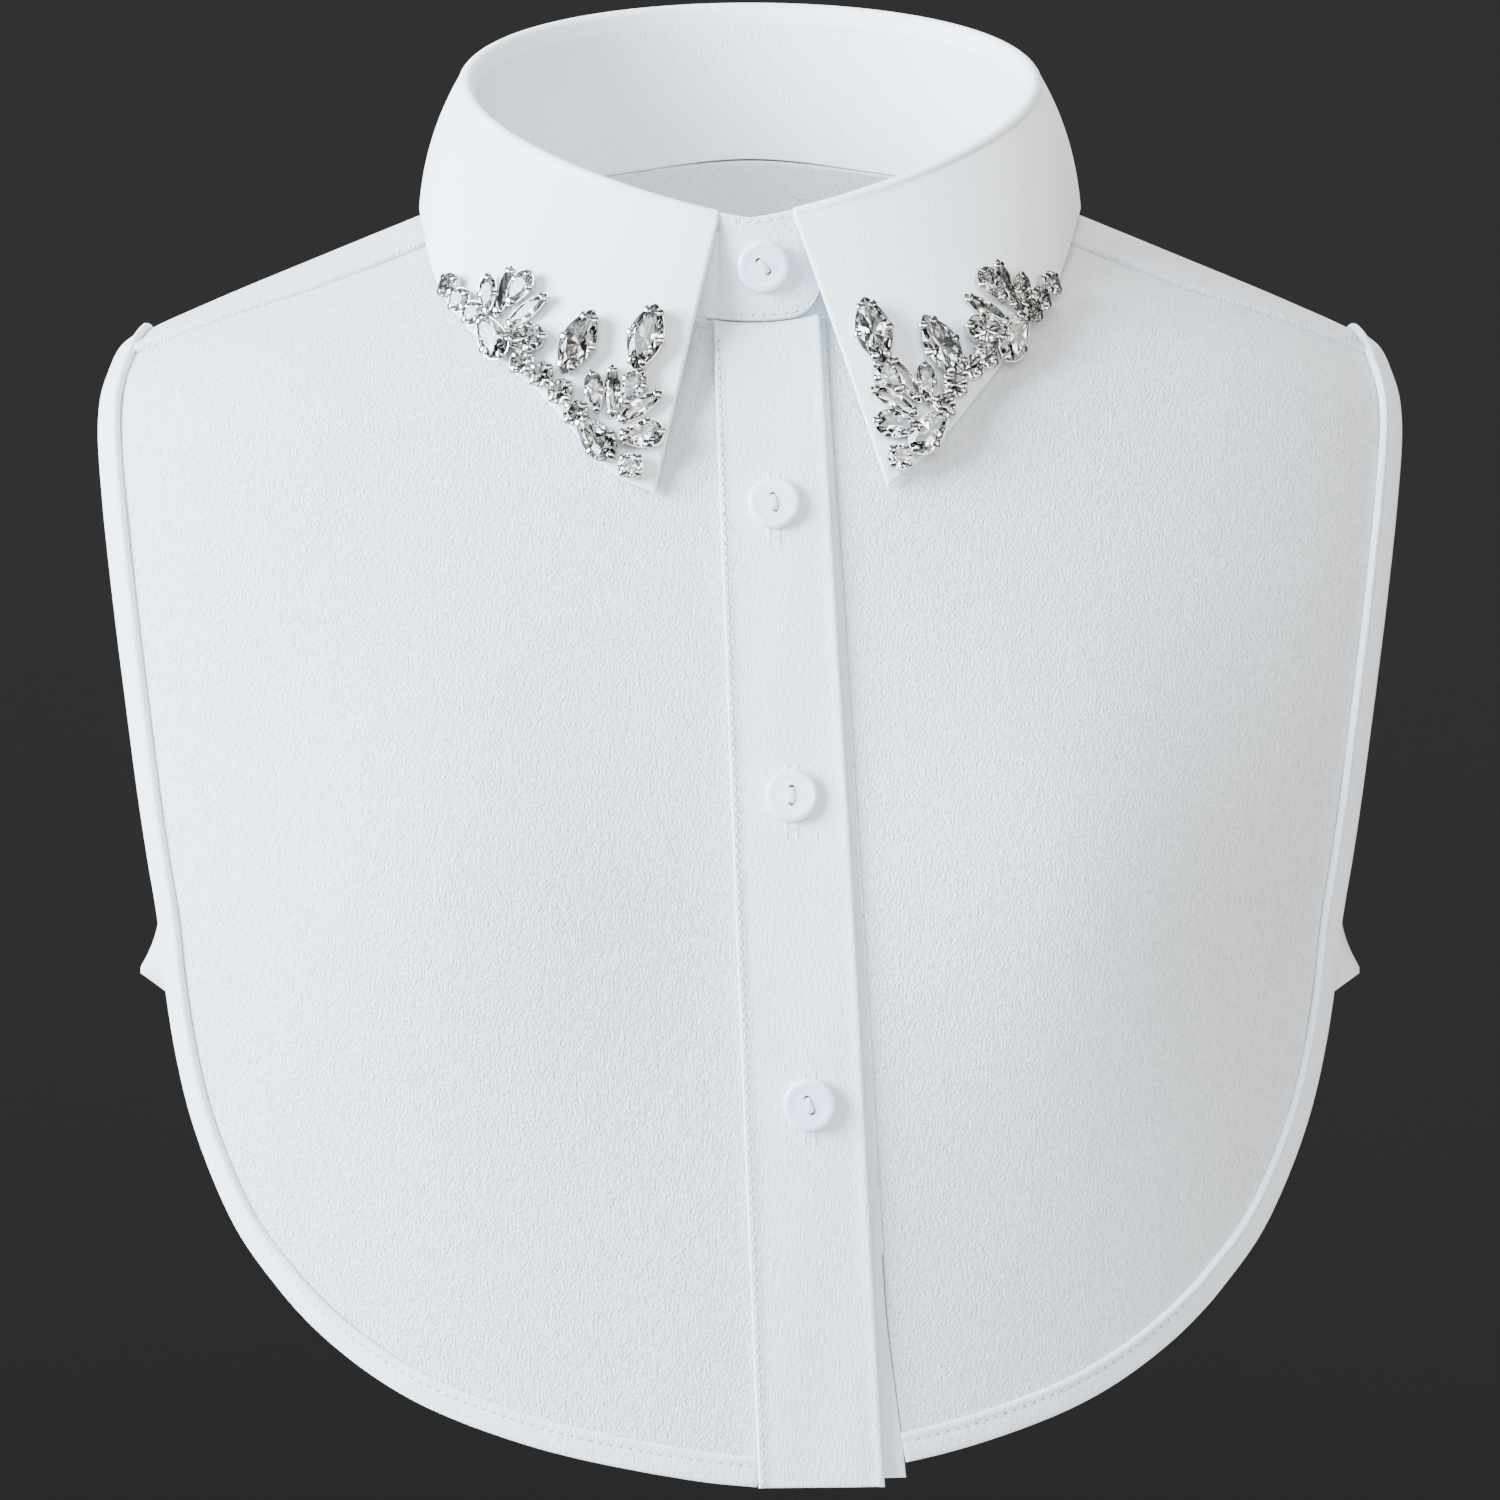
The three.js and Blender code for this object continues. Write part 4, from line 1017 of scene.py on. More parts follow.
def stone_rings(kind, swell=1, sink=0):
    """Rings of a cut stone: culet, lower, girdle, upper and table."""
    width = STONE_KINDS[kind][1]
    girdle = girdle_height(kind)
    corner = np.arange(8) * np.pi / 4
    half = corner + np.pi / 8
    edge = np.arange(16) * np.pi / 8
    ring = lambda angle, share, h: np.column_stack([
        stone_outline(kind, angle, share * swell), np.full(len(angle), h - sink),
    ])
    return {
        "culet": np.array([[0, 0, 0.25 - sink]]),
        "lower": ring(half, 0.5, 0.25 + (girdle - 0.25) * 0.42),
        "girdle": ring(edge, 0.95, girdle - 0.06),
        "belt": ring(edge, 0.95, girdle + 0.06),
        "upper": ring(half, 0.78, girdle + 0.115 * width),
        "table": ring(corner, 0.56, girdle + 0.17 * width),
    }


def pavilion_faces(culet, lower, girdle):
    faces = []
    for k in range(8):
        before = (k - 1) % 8
        faces.append([culet, lower + k, girdle + 2 * k, lower + before])
        faces.append([lower + k, girdle + 2 * k + 1, girdle + 2 * k])
        faces.append([lower + k, girdle + (2 * k + 2) % 16, girdle + 2 * k + 1])
    return faces


def stone_parts(kind):
    """Points and faces of a cut stone with a table, crown and pavilion."""
    points = np.concatenate(list(stone_rings(kind).values()))
    lower, girdle, belt, upper, table = 1, 9, 25, 41, 49
    faces = pavilion_faces(0, lower, girdle)
    for i in range(16):
        after = (i + 1) % 16
        faces.append([girdle + i, girdle + after, belt + after, belt + i])
    for k in range(8):
        before = (k - 1) % 8
        after = (k + 1) % 8
        faces.append([upper + k, belt + 2 * k, belt + 2 * k + 1])
        faces.append([upper + k, belt + 2 * k + 1, belt + (2 * k + 2) % 16])
        faces.append([table + k, upper + before, belt + 2 * k, upper + k])
        faces.append([table + k, upper + k, table + after])
    faces.append([table + k for k in range(8)])
    return points, faces


def setting_parts(kind):
    """Silver cup of a stone: a wall with a rim, and a bright faceted seat under the pavilion."""
    girdle = girdle_height(kind)
    a = np.arange(32) * np.pi / 16
    ring = lambda share, h: np.column_stack([stone_outline(kind, a, share), np.full(32, h)])
    wall = band([ring(0.84, 0), ring(0.9, 0.08), ring(0.99, girdle - 0.15), ring(1.01, girdle),
                 ring(1, girdle + 0.1), ring(0.965, girdle + 0.1)])
    rings = stone_rings(kind, 1.02, 0.1)
    points = np.concatenate([rings["culet"], rings["lower"], rings["girdle"], ring(0.965, girdle + 0.1)])
    faces = pavilion_faces(0, 1, 9)
    for i in range(16):
        after = (i + 1) % 16
        inside, next_inside = 9 + i, 9 + after
        rim = 25 + 2 * i
        faces.append([inside, rim, rim + 1])
        faces.append([inside, rim + 1, next_inside])
        faces.append([next_inside, rim + 1, 25 + (2 * i + 2) % 32])
    floor = (ring(0.84, 0), [list(range(32))])
    return joined([wall, (points, faces), floor])


def claw_parts():
    """A claw at the origin that comes up the wall and bends inwards along Y over the crown."""
    stations = [
        (-0.12, -0.1, 0.3), (-0.24, 0.5, 0.32), (-0.27, 0.95, 0.42), (-0.14, 1.3, 0.56),
        (0.2, 1.5, 0.66), (0.62, 1.62, 0.66), (0.98, 1.66, 0.5), (1.16, 1.64, 0.22),
    ]
    line = catmull(stations, np.linspace(0, len(stations) - 1, 19))
    ahead = unit(np.gradient(line[:, :2], axis=0))
    a = np.linspace(0, 2 * np.pi, 12, endpoint=False)
    loops = []
    for (y, z, half), (dy, dz) in zip(line, ahead):
        thick = 0.2 * np.sin(a)
        loops.append(np.stack([half * np.cos(a), y - dz * thick, z + dy * thick], axis=-1))
    return swept(loops)


def claw_scale(kind):
    return 0.74 + 0.065 * STONE_KINDS[kind][1]


def claw_places(kind):
    """Angles of a stone's claws round its outline."""
    count = STONE_KINDS[kind][4]
    if kind in ("navette", "slim"):
        near = math.radians(52)
        angles = [near, math.pi - near, math.pi + near, -near]
        return angles + ([0, math.pi] if count == 6 else [])
    start = math.pi / 4 if kind == "round" else math.pi / 2
    return [start + 2 * math.pi * i / count for i in range(count)]


def seen_from_front(tree, x, z):
    """Point and face direction where a line from the front meets a piece, or none beside it."""
    point, normal, _, _ = tree.ray_cast(Vector((x, -300, z)) * MM, Vector((0, 1, 0)))
    if point is None:
        return None, np.zeros(3)
    return np.array(point) / MM, np.array(normal) * (1 if normal.y < 0 else -1)


def seat_on(tree, x, z):
    """Point and face direction, in millimetres, of a seat that has to be there."""
    point, normal = seen_from_front(tree, x, z)
    if point is None:
        raise RuntimeError(f"nothing to sit on at {x}, {z}")
    return point, normal


def seat_frame(tree, x, z, lean, head=0):
    """Foot and turned axes of a piece on another, whose head is seen at x and z from the front."""
    foot = np.array([x, z], float)
    for _ in range(4 if head else 1):
        point, _ = seat_on(tree, *foot)
        around = [seen_from_front(tree, *(foot + step))[1] for step in SEAT_SPREAD]
        normal = unit(np.sum(around, axis=0))
        foot = np.array([x, z]) - normal[[0, 2]] * head
    lean = math.radians(lean)
    lengthwise = np.array([math.sin(lean), 0, math.cos(lean)])
    lengthwise = unit(lengthwise - normal * (lengthwise @ normal))
    crosswise = np.cross(lengthwise, normal)
    return point + normal * SEAT_GAP, np.stack([crosswise, lengthwise, normal])


class Wire:
    """A socket of a node tree that takes part in sums."""

    def __init__(self, tree, socket):
        self.tree = tree
        self.socket = socket

    def math(self, operation, a, b):
        return self.tree.add("ShaderNodeMath", {"operation": operation}, {0: a, 1: b})

    def __add__(self, other):
        return self.math("ADD", self, other)

    def __radd__(self, other):
        return self.math("ADD", other, self)

    def __mul__(self, other):
        return self.math("MULTIPLY", self, other)

    def __rmul__(self, other):
        return self.math("MULTIPLY", other, self)


class Tree:
    """A node tree under construction. A node goes in by type, settings first, then inputs."""

    def __init__(self, tree):
        self.tree = tree

    def node(self, kind, settings=None, inputs=None):
        node = self.tree.nodes.new(kind)
        for key, value in (settings or {}).items():
            setattr(node, key, value)
        for key, value in (inputs or {}).items():
            if isinstance(value, Wire):
                self.tree.links.new(value.socket, node.inputs[key])
            else:
                node.inputs[key].default_value = value
        return node

    def add(self, kind, settings=None, inputs=None, output=0):
        return Wire(self, self.node(kind, settings, inputs).outputs[output])

    def bump(self, strength, distance, height):
        inputs = {"Strength": strength, "Distance": distance, "Height": height}
        return self.add("ShaderNodeBump", None, inputs)

    def ribs(self, direction, where, scale):
        settings = {"bands_direction": direction}
        return self.add("ShaderNodeTexWave", settings, {"Vector": where, "Scale": scale})

    def held(self, name):
        """A direction that the points of a mesh hold under a name."""
        settings = {"data_type": "FLOAT_VECTOR"}
        return self.add("GeometryNodeInputNamedAttribute", settings, {"Name": name})

    def blend(self, share, a, b):
        """Mixes two colours by a share."""
        inputs = {"Factor": share, 6: a, 7: b}
        return self.add("ShaderNodeMix", {"data_type": "RGBA"}, inputs, output=2)

    def noise(self, where, scale, detail=2, rough=0.5, distort=0):
        inputs = {
            "Vector": where, "Scale": scale, "Detail": detail, "Roughness": rough, "Distortion": distort,
        }
        return self.add("ShaderNodeTexNoise", None, inputs)


def new_look(name):
    """A material with an empty tree and its own coordinates."""
    material = bpy.data.materials.new(name)
    material.use_nodes = True
    material.node_tree.nodes.clear()
    tree = Tree(material.node_tree)
    where = tree.add("ShaderNodeTexCoord", None, None, output="Object")
    return material, tree, where


def finish_look(tree, constants, **linked):
    """Puts the main shader in: constants by name, and the few inputs that vary."""
    inputs = dict(constants)
    inputs.update({key.replace("_", " "): value for key, value in linked.items()})
    shader = tree.add("ShaderNodeBsdfPrincipled", None, inputs)
    tree.node("ShaderNodeOutputMaterial", None, {"Surface": shader})


def crepe_look(name, strength, tint, lean, stretch):
    """White crepe: short crinkles that lean, over a fine weave and faint cloudiness; its colour is
    darker in the crinkles' hollows as painted shade, and uneven with the cloudiness.
    """
    material, tree, where = new_look(name)
    leaning = tree.add("ShaderNodeMapping", None, {
        "Vector": where, "Rotation": (0.1, lean, 0), "Scale": (1, 1, stretch),
    })
    crinkle = tree.noise(leaning, 1800, 1.5, 0.55, 0.8)
    pebble = tree.noise(where, 2400, 1, 0.5)
    cloud = tree.noise(where, 22, 2)
    height = crinkle + pebble * 0.3
    bump = tree.bump(strength, settings().grain, height)
    # Colour darkens where the crinkles are low, painted shade in their hollows, mixed with the cloth's
    # uneven cloudy tone
    dark = tuple(c * 0.94 for c in tint)
    colour = tree.blend(cloud * 0.6 + crinkle * 0.4, (*dark, 1), (*tint, 1))
    constants = {"Specular IOR Level": 0.25, "Sheen Weight": 0.25, "Sheen Roughness": 0.6}
    finish_look(tree, constants, Base_Color=colour, Roughness=0.72 + cloud * 0.16, Normal=bump)
    return material


def elastic_look(name):
    material, tree, where = new_look(name)
    fine = tree.noise(where, 2200, 1)
    bump = tree.bump(0.5, 0.0001, tree.ribs("Z", where, 900) + fine)
    colour = tree.blend(fine, (0.66, 0.69, 0.73, 1), (0.84, 0.86, 0.89, 1))
    finish_look(tree, {"Sheen Weight": 0.3}, Base_Color=colour, Roughness=0.8 + fine * 0.15, Normal=bump)
    return material


def button_look(name):
    material, tree, where = new_look(name)
    cloud = tree.noise(where, 260, 2)
    fine = tree.noise(where, 1900, 1)
    bump = tree.bump(0.06, 0.0001, fine)
    # Pale button colour with a strong blue that is a painted cast of the cool key light
    colour = tree.blend(cloud, (0.68, 0.8, 0.95, 1), (0.75, 0.86, 0.99, 1))
    constants = {"IOR": 1.5, "Coat Weight": 0.4, "Coat Roughness": 0.12}
    finish_look(tree, constants, Base_Color=colour, Roughness=0.22 + fine * 0.1, Normal=bump)
    return material


def thread_look(name, dark, light):
    """Twisted sewing thread, or the shade in the holes between its stitches."""
    material, tree, where = new_look(name)
    twist = tree.ribs("DIAGONAL", where, 1400)
    fine = tree.noise(where, 3000, 1)
    bump = tree.bump(0.6, 0.00006, twist + fine)
    colour = tree.blend(fine, (*dark, 1), (*light, 1))
    finish_look(tree, {"Sheen Weight": 0.2}, Base_Color=colour, Roughness=0.6 + fine * 0.2, Normal=bump)
    return material


def silver_look(name):
    material, tree, where = new_look(name)
    cloud = tree.noise(where, 420, 2)
    fine = tree.noise(where, 5200, 1)
    bump = tree.bump(0.08, 0.0001, fine)
    warm = tree.noise(where, 650, 1, 0.6, 1)
    colour = tree.blend(warm, (0.3, 0.3, 0.3, 1), (0.82, 0.79, 0.73, 1))
    finish_look(tree, {"Metallic": 1}, Base_Color=colour, Roughness=0.08 + cloud * 0.22, Normal=bump)
    return material


def stone_look(name):
    """Clear cut glass with faint polish marks."""
    material, tree, where = new_look(name)
    cloud = tree.noise(where, 300, 1)
    colour = tree.blend(cloud, (0.95, 0.97, 1, 1), (1, 0.99, 0.97, 1))
    constants = {"IOR": 1.58, "Transmission Weight": 1}
    finish_look(tree, constants, Base_Color=colour, Roughness=cloud * 0.02)
    return material


def new_group(name, rows):
    """A node group with named inputs: its tree and the wires of its inputs by name."""
    group = bpy.data.node_groups.new(name, "GeometryNodeTree")
    rows = {"Geometry": "Geometry", **rows, "Material": "Material"}
    for key, kind in rows.items():
        group.interface.new_socket(key, in_out="INPUT", socket_type="NodeSocket" + kind)
    group.interface.new_socket("Geometry", in_out="OUTPUT", socket_type="NodeSocketGeometry")
    tree = Tree(group)
    source = tree.node("NodeGroupInput")
    return tree, {key: Wire(tree, source.outputs[key]) for key in rows}


def finish_group(tree, given, points, form, rotation, size, smooth):
    """Puts a form on points, makes it real, gives it the material and ends the group."""
    inputs = {"Points": points, "Instance": form, "Rotation": rotation, "Scale": size}
    placed = tree.add("GeometryNodeInstanceOnPoints", None, inputs)
    real = tree.add("GeometryNodeRealizeInstances", None, {"Geometry": placed})
    if smooth:
        real = tree.add("GeometryNodeSetShadeSmooth", None, {"Geometry": real})
    inputs = {"Geometry": real, "Material": given["Material"]}
    looked = tree.add("GeometryNodeSetMaterial", None, inputs)
    tree.node("NodeGroupOutput", None, {"Geometry": looked})


def aligned(tree, first_axis, first, second_axis, second):
    """Rotation that puts one axis on a direction and turns about it towards another."""
    kind = "FunctionNodeAlignRotationToVector"
    turned = tree.add(kind, {"axis": first_axis, "pivot_axis": "AUTO"}, {"Vector": first})
    settings = {"axis": second_axis, "pivot_axis": first_axis}
    return tree.add(kind, settings, {"Rotation": turned, "Vector": second})


# Shortest and longest stitch, in shares of its stated length
STITCH_SPREAD = (0.9, 1.08)


def stitch_group():
    """Geometry nodes that repeat a stitch, a long bead, along paths."""
    tree, given = new_group("repeat_stitch", {
        "Pitch": "Float", "Along": "Float", "Across": "Float", "Thick": "Float", "Seed": "Int",
    })
    curve = tree.add("GeometryNodeMeshToCurve", None, {"Mesh": given["Geometry"]})
    inputs = {"Curve": curve, "Length": given["Pitch"]}
    points = tree.add("GeometryNodeResampleCurve", {"mode": "LENGTH"}, inputs)
    form = tree.add("GeometryNodeMeshIcoSphere", None, {"Radius": 1.0, "Subdivisions": 2})
    tangent = tree.add("GeometryNodeInputTangent")
    rotation = aligned(tree, "X", tangent, "Z", tree.held("facing"))
    jitter = tree.node("FunctionNodeRandomValue", {"data_type": "FLOAT"})
    open_inputs = {s.name: s for s in jitter.inputs if s.enabled}
    open_inputs["Min"].default_value, open_inputs["Max"].default_value = STITCH_SPREAD
    tree.tree.links.new(given["Seed"].socket, open_inputs["Seed"])
    uneven = Wire(tree, [s for s in jitter.outputs if s.enabled][0])
    size = tree.add("ShaderNodeCombineXYZ", None, {
        "X": given["Along"] * uneven * 0.5,
        "Y": given["Across"] * 0.5,
        "Z": given["Thick"] * uneven * 0.5,
    })
    finish_group(tree, given, points, form, rotation, size, True)
    return tree.tree


def claw_group():
    """Geometry nodes that put a claw at each point, by its facing and inward directions."""
    tree, given = new_group("place_claws", {"Claw": "Object", "Size": "Float"})
    rotation = aligned(tree, "Z", tree.held("facing"), "Y", tree.held("inward"))
    inputs = {0: tree.held("size"), "Scale": given["Size"]}
    size = tree.add("ShaderNodeVectorMath", {"operation": "SCALE"}, inputs)
    form = tree.add("GeometryNodeObjectInfo", None, {"Object": given["Claw"]}, output="Geometry")
    finish_group(tree, given, given["Geometry"], form, rotation, size, False)
    return tree.tree


def grown(name, mesh, group, values):
    """Runs a node group over a mesh and returns the plain mesh that it makes."""
    source = bpy.data.objects.new(name + "_paths", mesh)
    bpy.context.scene.collection.objects.link(source)
    modifier = source.modifiers.new("nodes", "NODES")
    modifier.node_group = group
    for item in group.interface.items_tree:
        if item.in_out == "INPUT" and item.name in values:
            modifier[item.identifier] = values[item.name]
    depsgraph = bpy.context.evaluated_depsgraph_get()
    result = bpy.data.meshes.new_from_object(source.evaluated_get(depsgraph), depsgraph=depsgraph)
    bpy.data.objects.remove(source)
    bpy.data.meshes.remove(mesh)
    result.name = name
    for attribute in [a for a in result.attributes if a.name in ("facing", "inward", "size")]:
        result.attributes.remove(attribute)
    if not result.polygons:
        raise RuntimeError(f"{name}: the node group made nothing")
    return result


def hold(mesh, name, rows):
    """Keeps a direction or size for each point of a mesh under a name."""
    held = mesh.attributes.new(name, "FLOAT_VECTOR", "POINT")
    held.data.foreach_set("vector", np.array(rows, np.float32).ravel())


def path_mesh(name, lines, facings):
    """Loose edges along lines, with the direction that each point faces."""
    points = np.concatenate(lines) * MM
    edges = []
    start = 0
    for line in lines:
        edges += [(start + i, start + i + 1) for i in range(len(line) - 1)]
        start += len(line)
    mesh = bpy.data.meshes.new(name)
    mesh.from_pydata(points.tolist(), edges, [])
    hold(mesh, "facing", np.concatenate(facings))
    return mesh


def later(line, distance):
    """The part of a line of points, with what goes with them, that starts at a distance along it."""
    gone = distances(line[:, :3])
    at = np.concatenate([[distance], gone[gone > distance]])
    return np.stack([np.interp(at, gone, column) for column in line.T], axis=-1)


def settings():
    return bpy.context.scene.collar_looks


# Stitches, and dark beads of painted shade at the needle holes between them: name, look, start in
# pitches, size along, across and out, and height
SEWN = (
    ("stitches", "thread_white", 0, 0.74, 0.5, 0.46, 0.02),
    ("needle_holes", "needle_shade", 0.5, 0.26, 0.54, 0.36, -0.03),
)


def add_stitches(name, lines, facings, pitch):
    """Two pieces along lines on the cloth: sewn stitches, and dark beads of painted shade at the needle
    holes between them.
    """
    pieces = []
    for part, look, start, along, across, thick, height in SEWN:
        rows = [later(np.hstack([a, b]), start * pitch) for a, b in zip(lines, facings)]
        values = {
            "Pitch": pitch * MM, "Along": pitch * along * MM, "Across": across * MM,
            "Thick": thick * MM, "Seed": settings().seed, "Material": material_of(look),
        }
        path = path_mesh(name, [r[:, :3] + r[:, 3:] * height for r in rows], [r[:, 3:] for r in rows])
        mesh = grown(f"{name}_{part}", path, group_of("repeat_stitch"), values)
        pieces.append(new_piece(mesh.name, mesh, material_of(look), []))
    return pieces


# Each look by name: what makes it, and what it is made with
LOOKS = {
    # One white crepe in three tints: the bib's is darker than the leaf's as painted shade, and all three
    # lean blue as a painted cast of the cool key light
    "crepe_bib": (crepe_look, 1.0, (0.75, 0.78, 0.815), 0.25, 0.45),
    "crepe_strip": (crepe_look, 0.42, (0.77, 0.825, 0.885), 0.5, 0.3),
    "crepe_leaf": (crepe_look, 0.2, (0.88, 0.925, 0.96), 0.08, 0.25),
    "elastic_white": (elastic_look,),
    # Dark grey for the painted shade at the needle holes
    "needle_shade": (thread_look, (0.2, 0.21, 0.22), (0.34, 0.35, 0.36)),
    "button_pearl": (button_look,),
    "thread_white": (thread_look, (0.72, 0.75, 0.79), (0.88, 0.9, 0.93)),
    "setting_silver": (silver_look,),
    "stone_glass": (stone_look,),
}


def material_of(name):
    """The material of that name, made when it is first asked for."""
    found = bpy.data.materials.get(name)
    if found:
        return found
    make, *values = LOOKS[name]
    return make(name, *values)


def group_of(name):
    """The node group of that name, made when it is first asked for."""
    found = bpy.data.node_groups.get(name)
    if found:
        return found
    return claw_group() if name == "place_claws" else stitch_group()


def tree_of(*names):
    """Search tree over finished pieces."""
    work = bmesh.new()
    for name in names:
        work.from_mesh(bpy.data.objects[name].data)
    tree = BVHTree.FromBMesh(work)
    work.free()
    return tree


def button_thread():
    """Strands of thread between the two holes of a button at the origin."""
    top = BUTTON["profile"][-1][1]
    strands = []
    for shift in (-0.36, 0, 0.36):
        y = np.array([-1.62, -1.6, -1.25, -0.5, 0, 0.5, 1.25, 1.6, 1.62])
        z = np.array([-1.4, -0.35, 0.12, 0.22, 0.25, 0.22, 0.12, -0.35, -1.4]) + top
        line = np.column_stack([np.full(len(y), shift), y, z])
        strands.append(tube(catmull(line, np.linspace(0, len(line) - 1, 33)), 0.24))
    return strands


def hole_lines(form):
    """Lines of close stitches round a buttonhole, across and up from the button's centre."""
    steps = np.linspace(0, 1, 24)[:, None]
    return [np.array(start) + np.array(way) * steps for start, way in BUTTONHOLES[form]]


class CollarLooks(bpy.types.PropertyGroup):
    """Sizes and finishes that the operators share."""

    seed: bpy.props.IntProperty(
        name="Seed", description="Seed of the small unevenness", default=7, min=0,
    )
    grain: bpy.props.FloatProperty(
        name="Grain depth", description="Depth of the crepe's crinkles",
        default=0.0008, min=0.0, max=0.001, subtype="DISTANCE", unit="LENGTH", precision=5,
    )
    rib_pitch: bpy.props.FloatProperty(
        name="Rib pitch", description="Distance between the ribs of the elastic straps",
        default=0.0009, min=0.0004, max=0.003, subtype="DISTANCE", unit="LENGTH", precision=5,
    )
    claw_size: bpy.props.FloatProperty(
        name="Claw size", description="Size of the claws beside their real size",
        default=1.0, min=0.5, max=1.5, subtype="FACTOR",
    )
    surround: bpy.props.FloatVectorProperty(
        name="Surround", description="Colour of the plain wall round the collar",
        default=(0.0222, 0.0187, 0.017), size=3, min=0.0, max=1.0, subtype="COLOR",
    )


class COLLAR_OT_bib(bpy.types.Operator):
    """Makes the two fronts, the back and the bound edges"""

    bl_idname = "collar.bib"
    bl_label = "Bib and bound edges"

    def execute(self, context):
        for name, shape in bib_sheets().items():
            soft_piece(name, shape, "crepe_bib")
        for word, side in SIDES.items():
            loops, line = binding_loops(side)
            name = f"binding_{word}"
            bound = soft_piece(name, swept(loops), "crepe_strip")
            at = settle(inset(line, side, BINDING["stitches_at"]))[2:-2]
            path = lifted(at, np.full(len(at), BINDING["stitch_height"]))
            sewn = add_stitches(name, [path], [normal_at(at)], BINDING["pitch"])
        return {"FINISHED"}


class COLLAR_OT_placket(bpy.types.Operator):
    """Makes the button strip and the strip under it"""

    bl_idname = "collar.placket"
    bl_label = "Button strips"

    def execute(self, context):
        over = soft_piece("placket", soft_sheet(placket_pair(), 0.8), "crepe_strip")
        under = soft_piece("under_placket", soft_sheet(under_pair(), CLOTH / 2), "crepe_strip")
        z = np.linspace(PLACKET["stitches_top"], PLACKET["z_bottom"] + 1.6, 400)
        at = body_point(placket_x("left", z) + PLACKET["stitches_at"], z)
        path = lifted(at, np.full(len(at), PLACKET["stitch_height"]))
        sewn = add_stitches("placket", [path], [normal_at(at)], PLACKET["pitch"])
        return {"FINISHED"}


class COLLAR_OT_band(bpy.types.Operator):
    """Makes the collar stand and the folded leaf"""

    bl_idname = "collar.band"
    bl_label = "Stand and leaf"

    def execute(self, context):
        stand = soft_piece("neck_band", soft_sheet(stand_pair(), 0.6), "crepe_strip")
        leaf = soft_sheet(leaf_pair(), LEAF["thick"] / 2)
        leaf = soft_piece("collar_leaf", leaf, "crepe_leaf")
        return {"FINISHED"}


class COLLAR_OT_straps(bpy.types.Operator):
    """Makes the ribbed elastic straps"""

    bl_idname = "collar.straps"
    bl_label = "Elastic straps"

    def execute(self, context):
        for word, side in SIDES.items():
            shape = soft_sheet(strap_pair(side, settings().rib_pitch / MM), 0.28)
            strap = soft_piece(f"strap_{word}", shape, "elastic_white", "elastic")
        return {"FINISHED"}


class COLLAR_OT_buttons(bpy.types.Operator):
    """Makes the buttons, their thread and the buttonholes"""

    bl_idname = "collar.buttons"
    bl_label = "Buttons and buttonholes"

    def execute(self, context):
        points, faces = button_parts()
        paths = []
        facings = []
        threads = []
        for name, x, z, turn, hole in BUTTONS:
            under = tree_of("neck_band_crepe" if name == "button_1" else "placket_crepe")
            place, axes = seat_frame(under, x, z, turn)
            mesh = new_mesh(name, place + points @ axes, faces)
            new_piece(name + "_pearl", mesh, material_of("button_pearl"), [name])
            threads += [(place + p @ axes, f) for p, f in button_thread()]
            for line in hole_lines(hole):
                spots = [seat_on(under, x + a, z + b) for a, b in line]
                paths.append(np.array([p for p, _ in spots]))
                facings.append(np.array([n for _, n in spots]))
        threads = new_mesh("button_thread", *joined(threads))
        new_piece("button_thread", threads, material_of("thread_white"), [])
        values = {
            "Pitch": 0.42 * MM, "Along": 0.4 * MM, "Across": 0.95 * MM, "Thick": 0.5 * MM,
            "Seed": settings().seed, "Material": material_of("thread_white"),
        }
        mesh = path_mesh("buttonholes", paths, facings)
        mesh = grown("buttonholes", mesh, group_of("repeat_stitch"), values)
        new_piece("buttonholes", mesh, material_of("thread_white"), [])
        return {"FINISHED"}


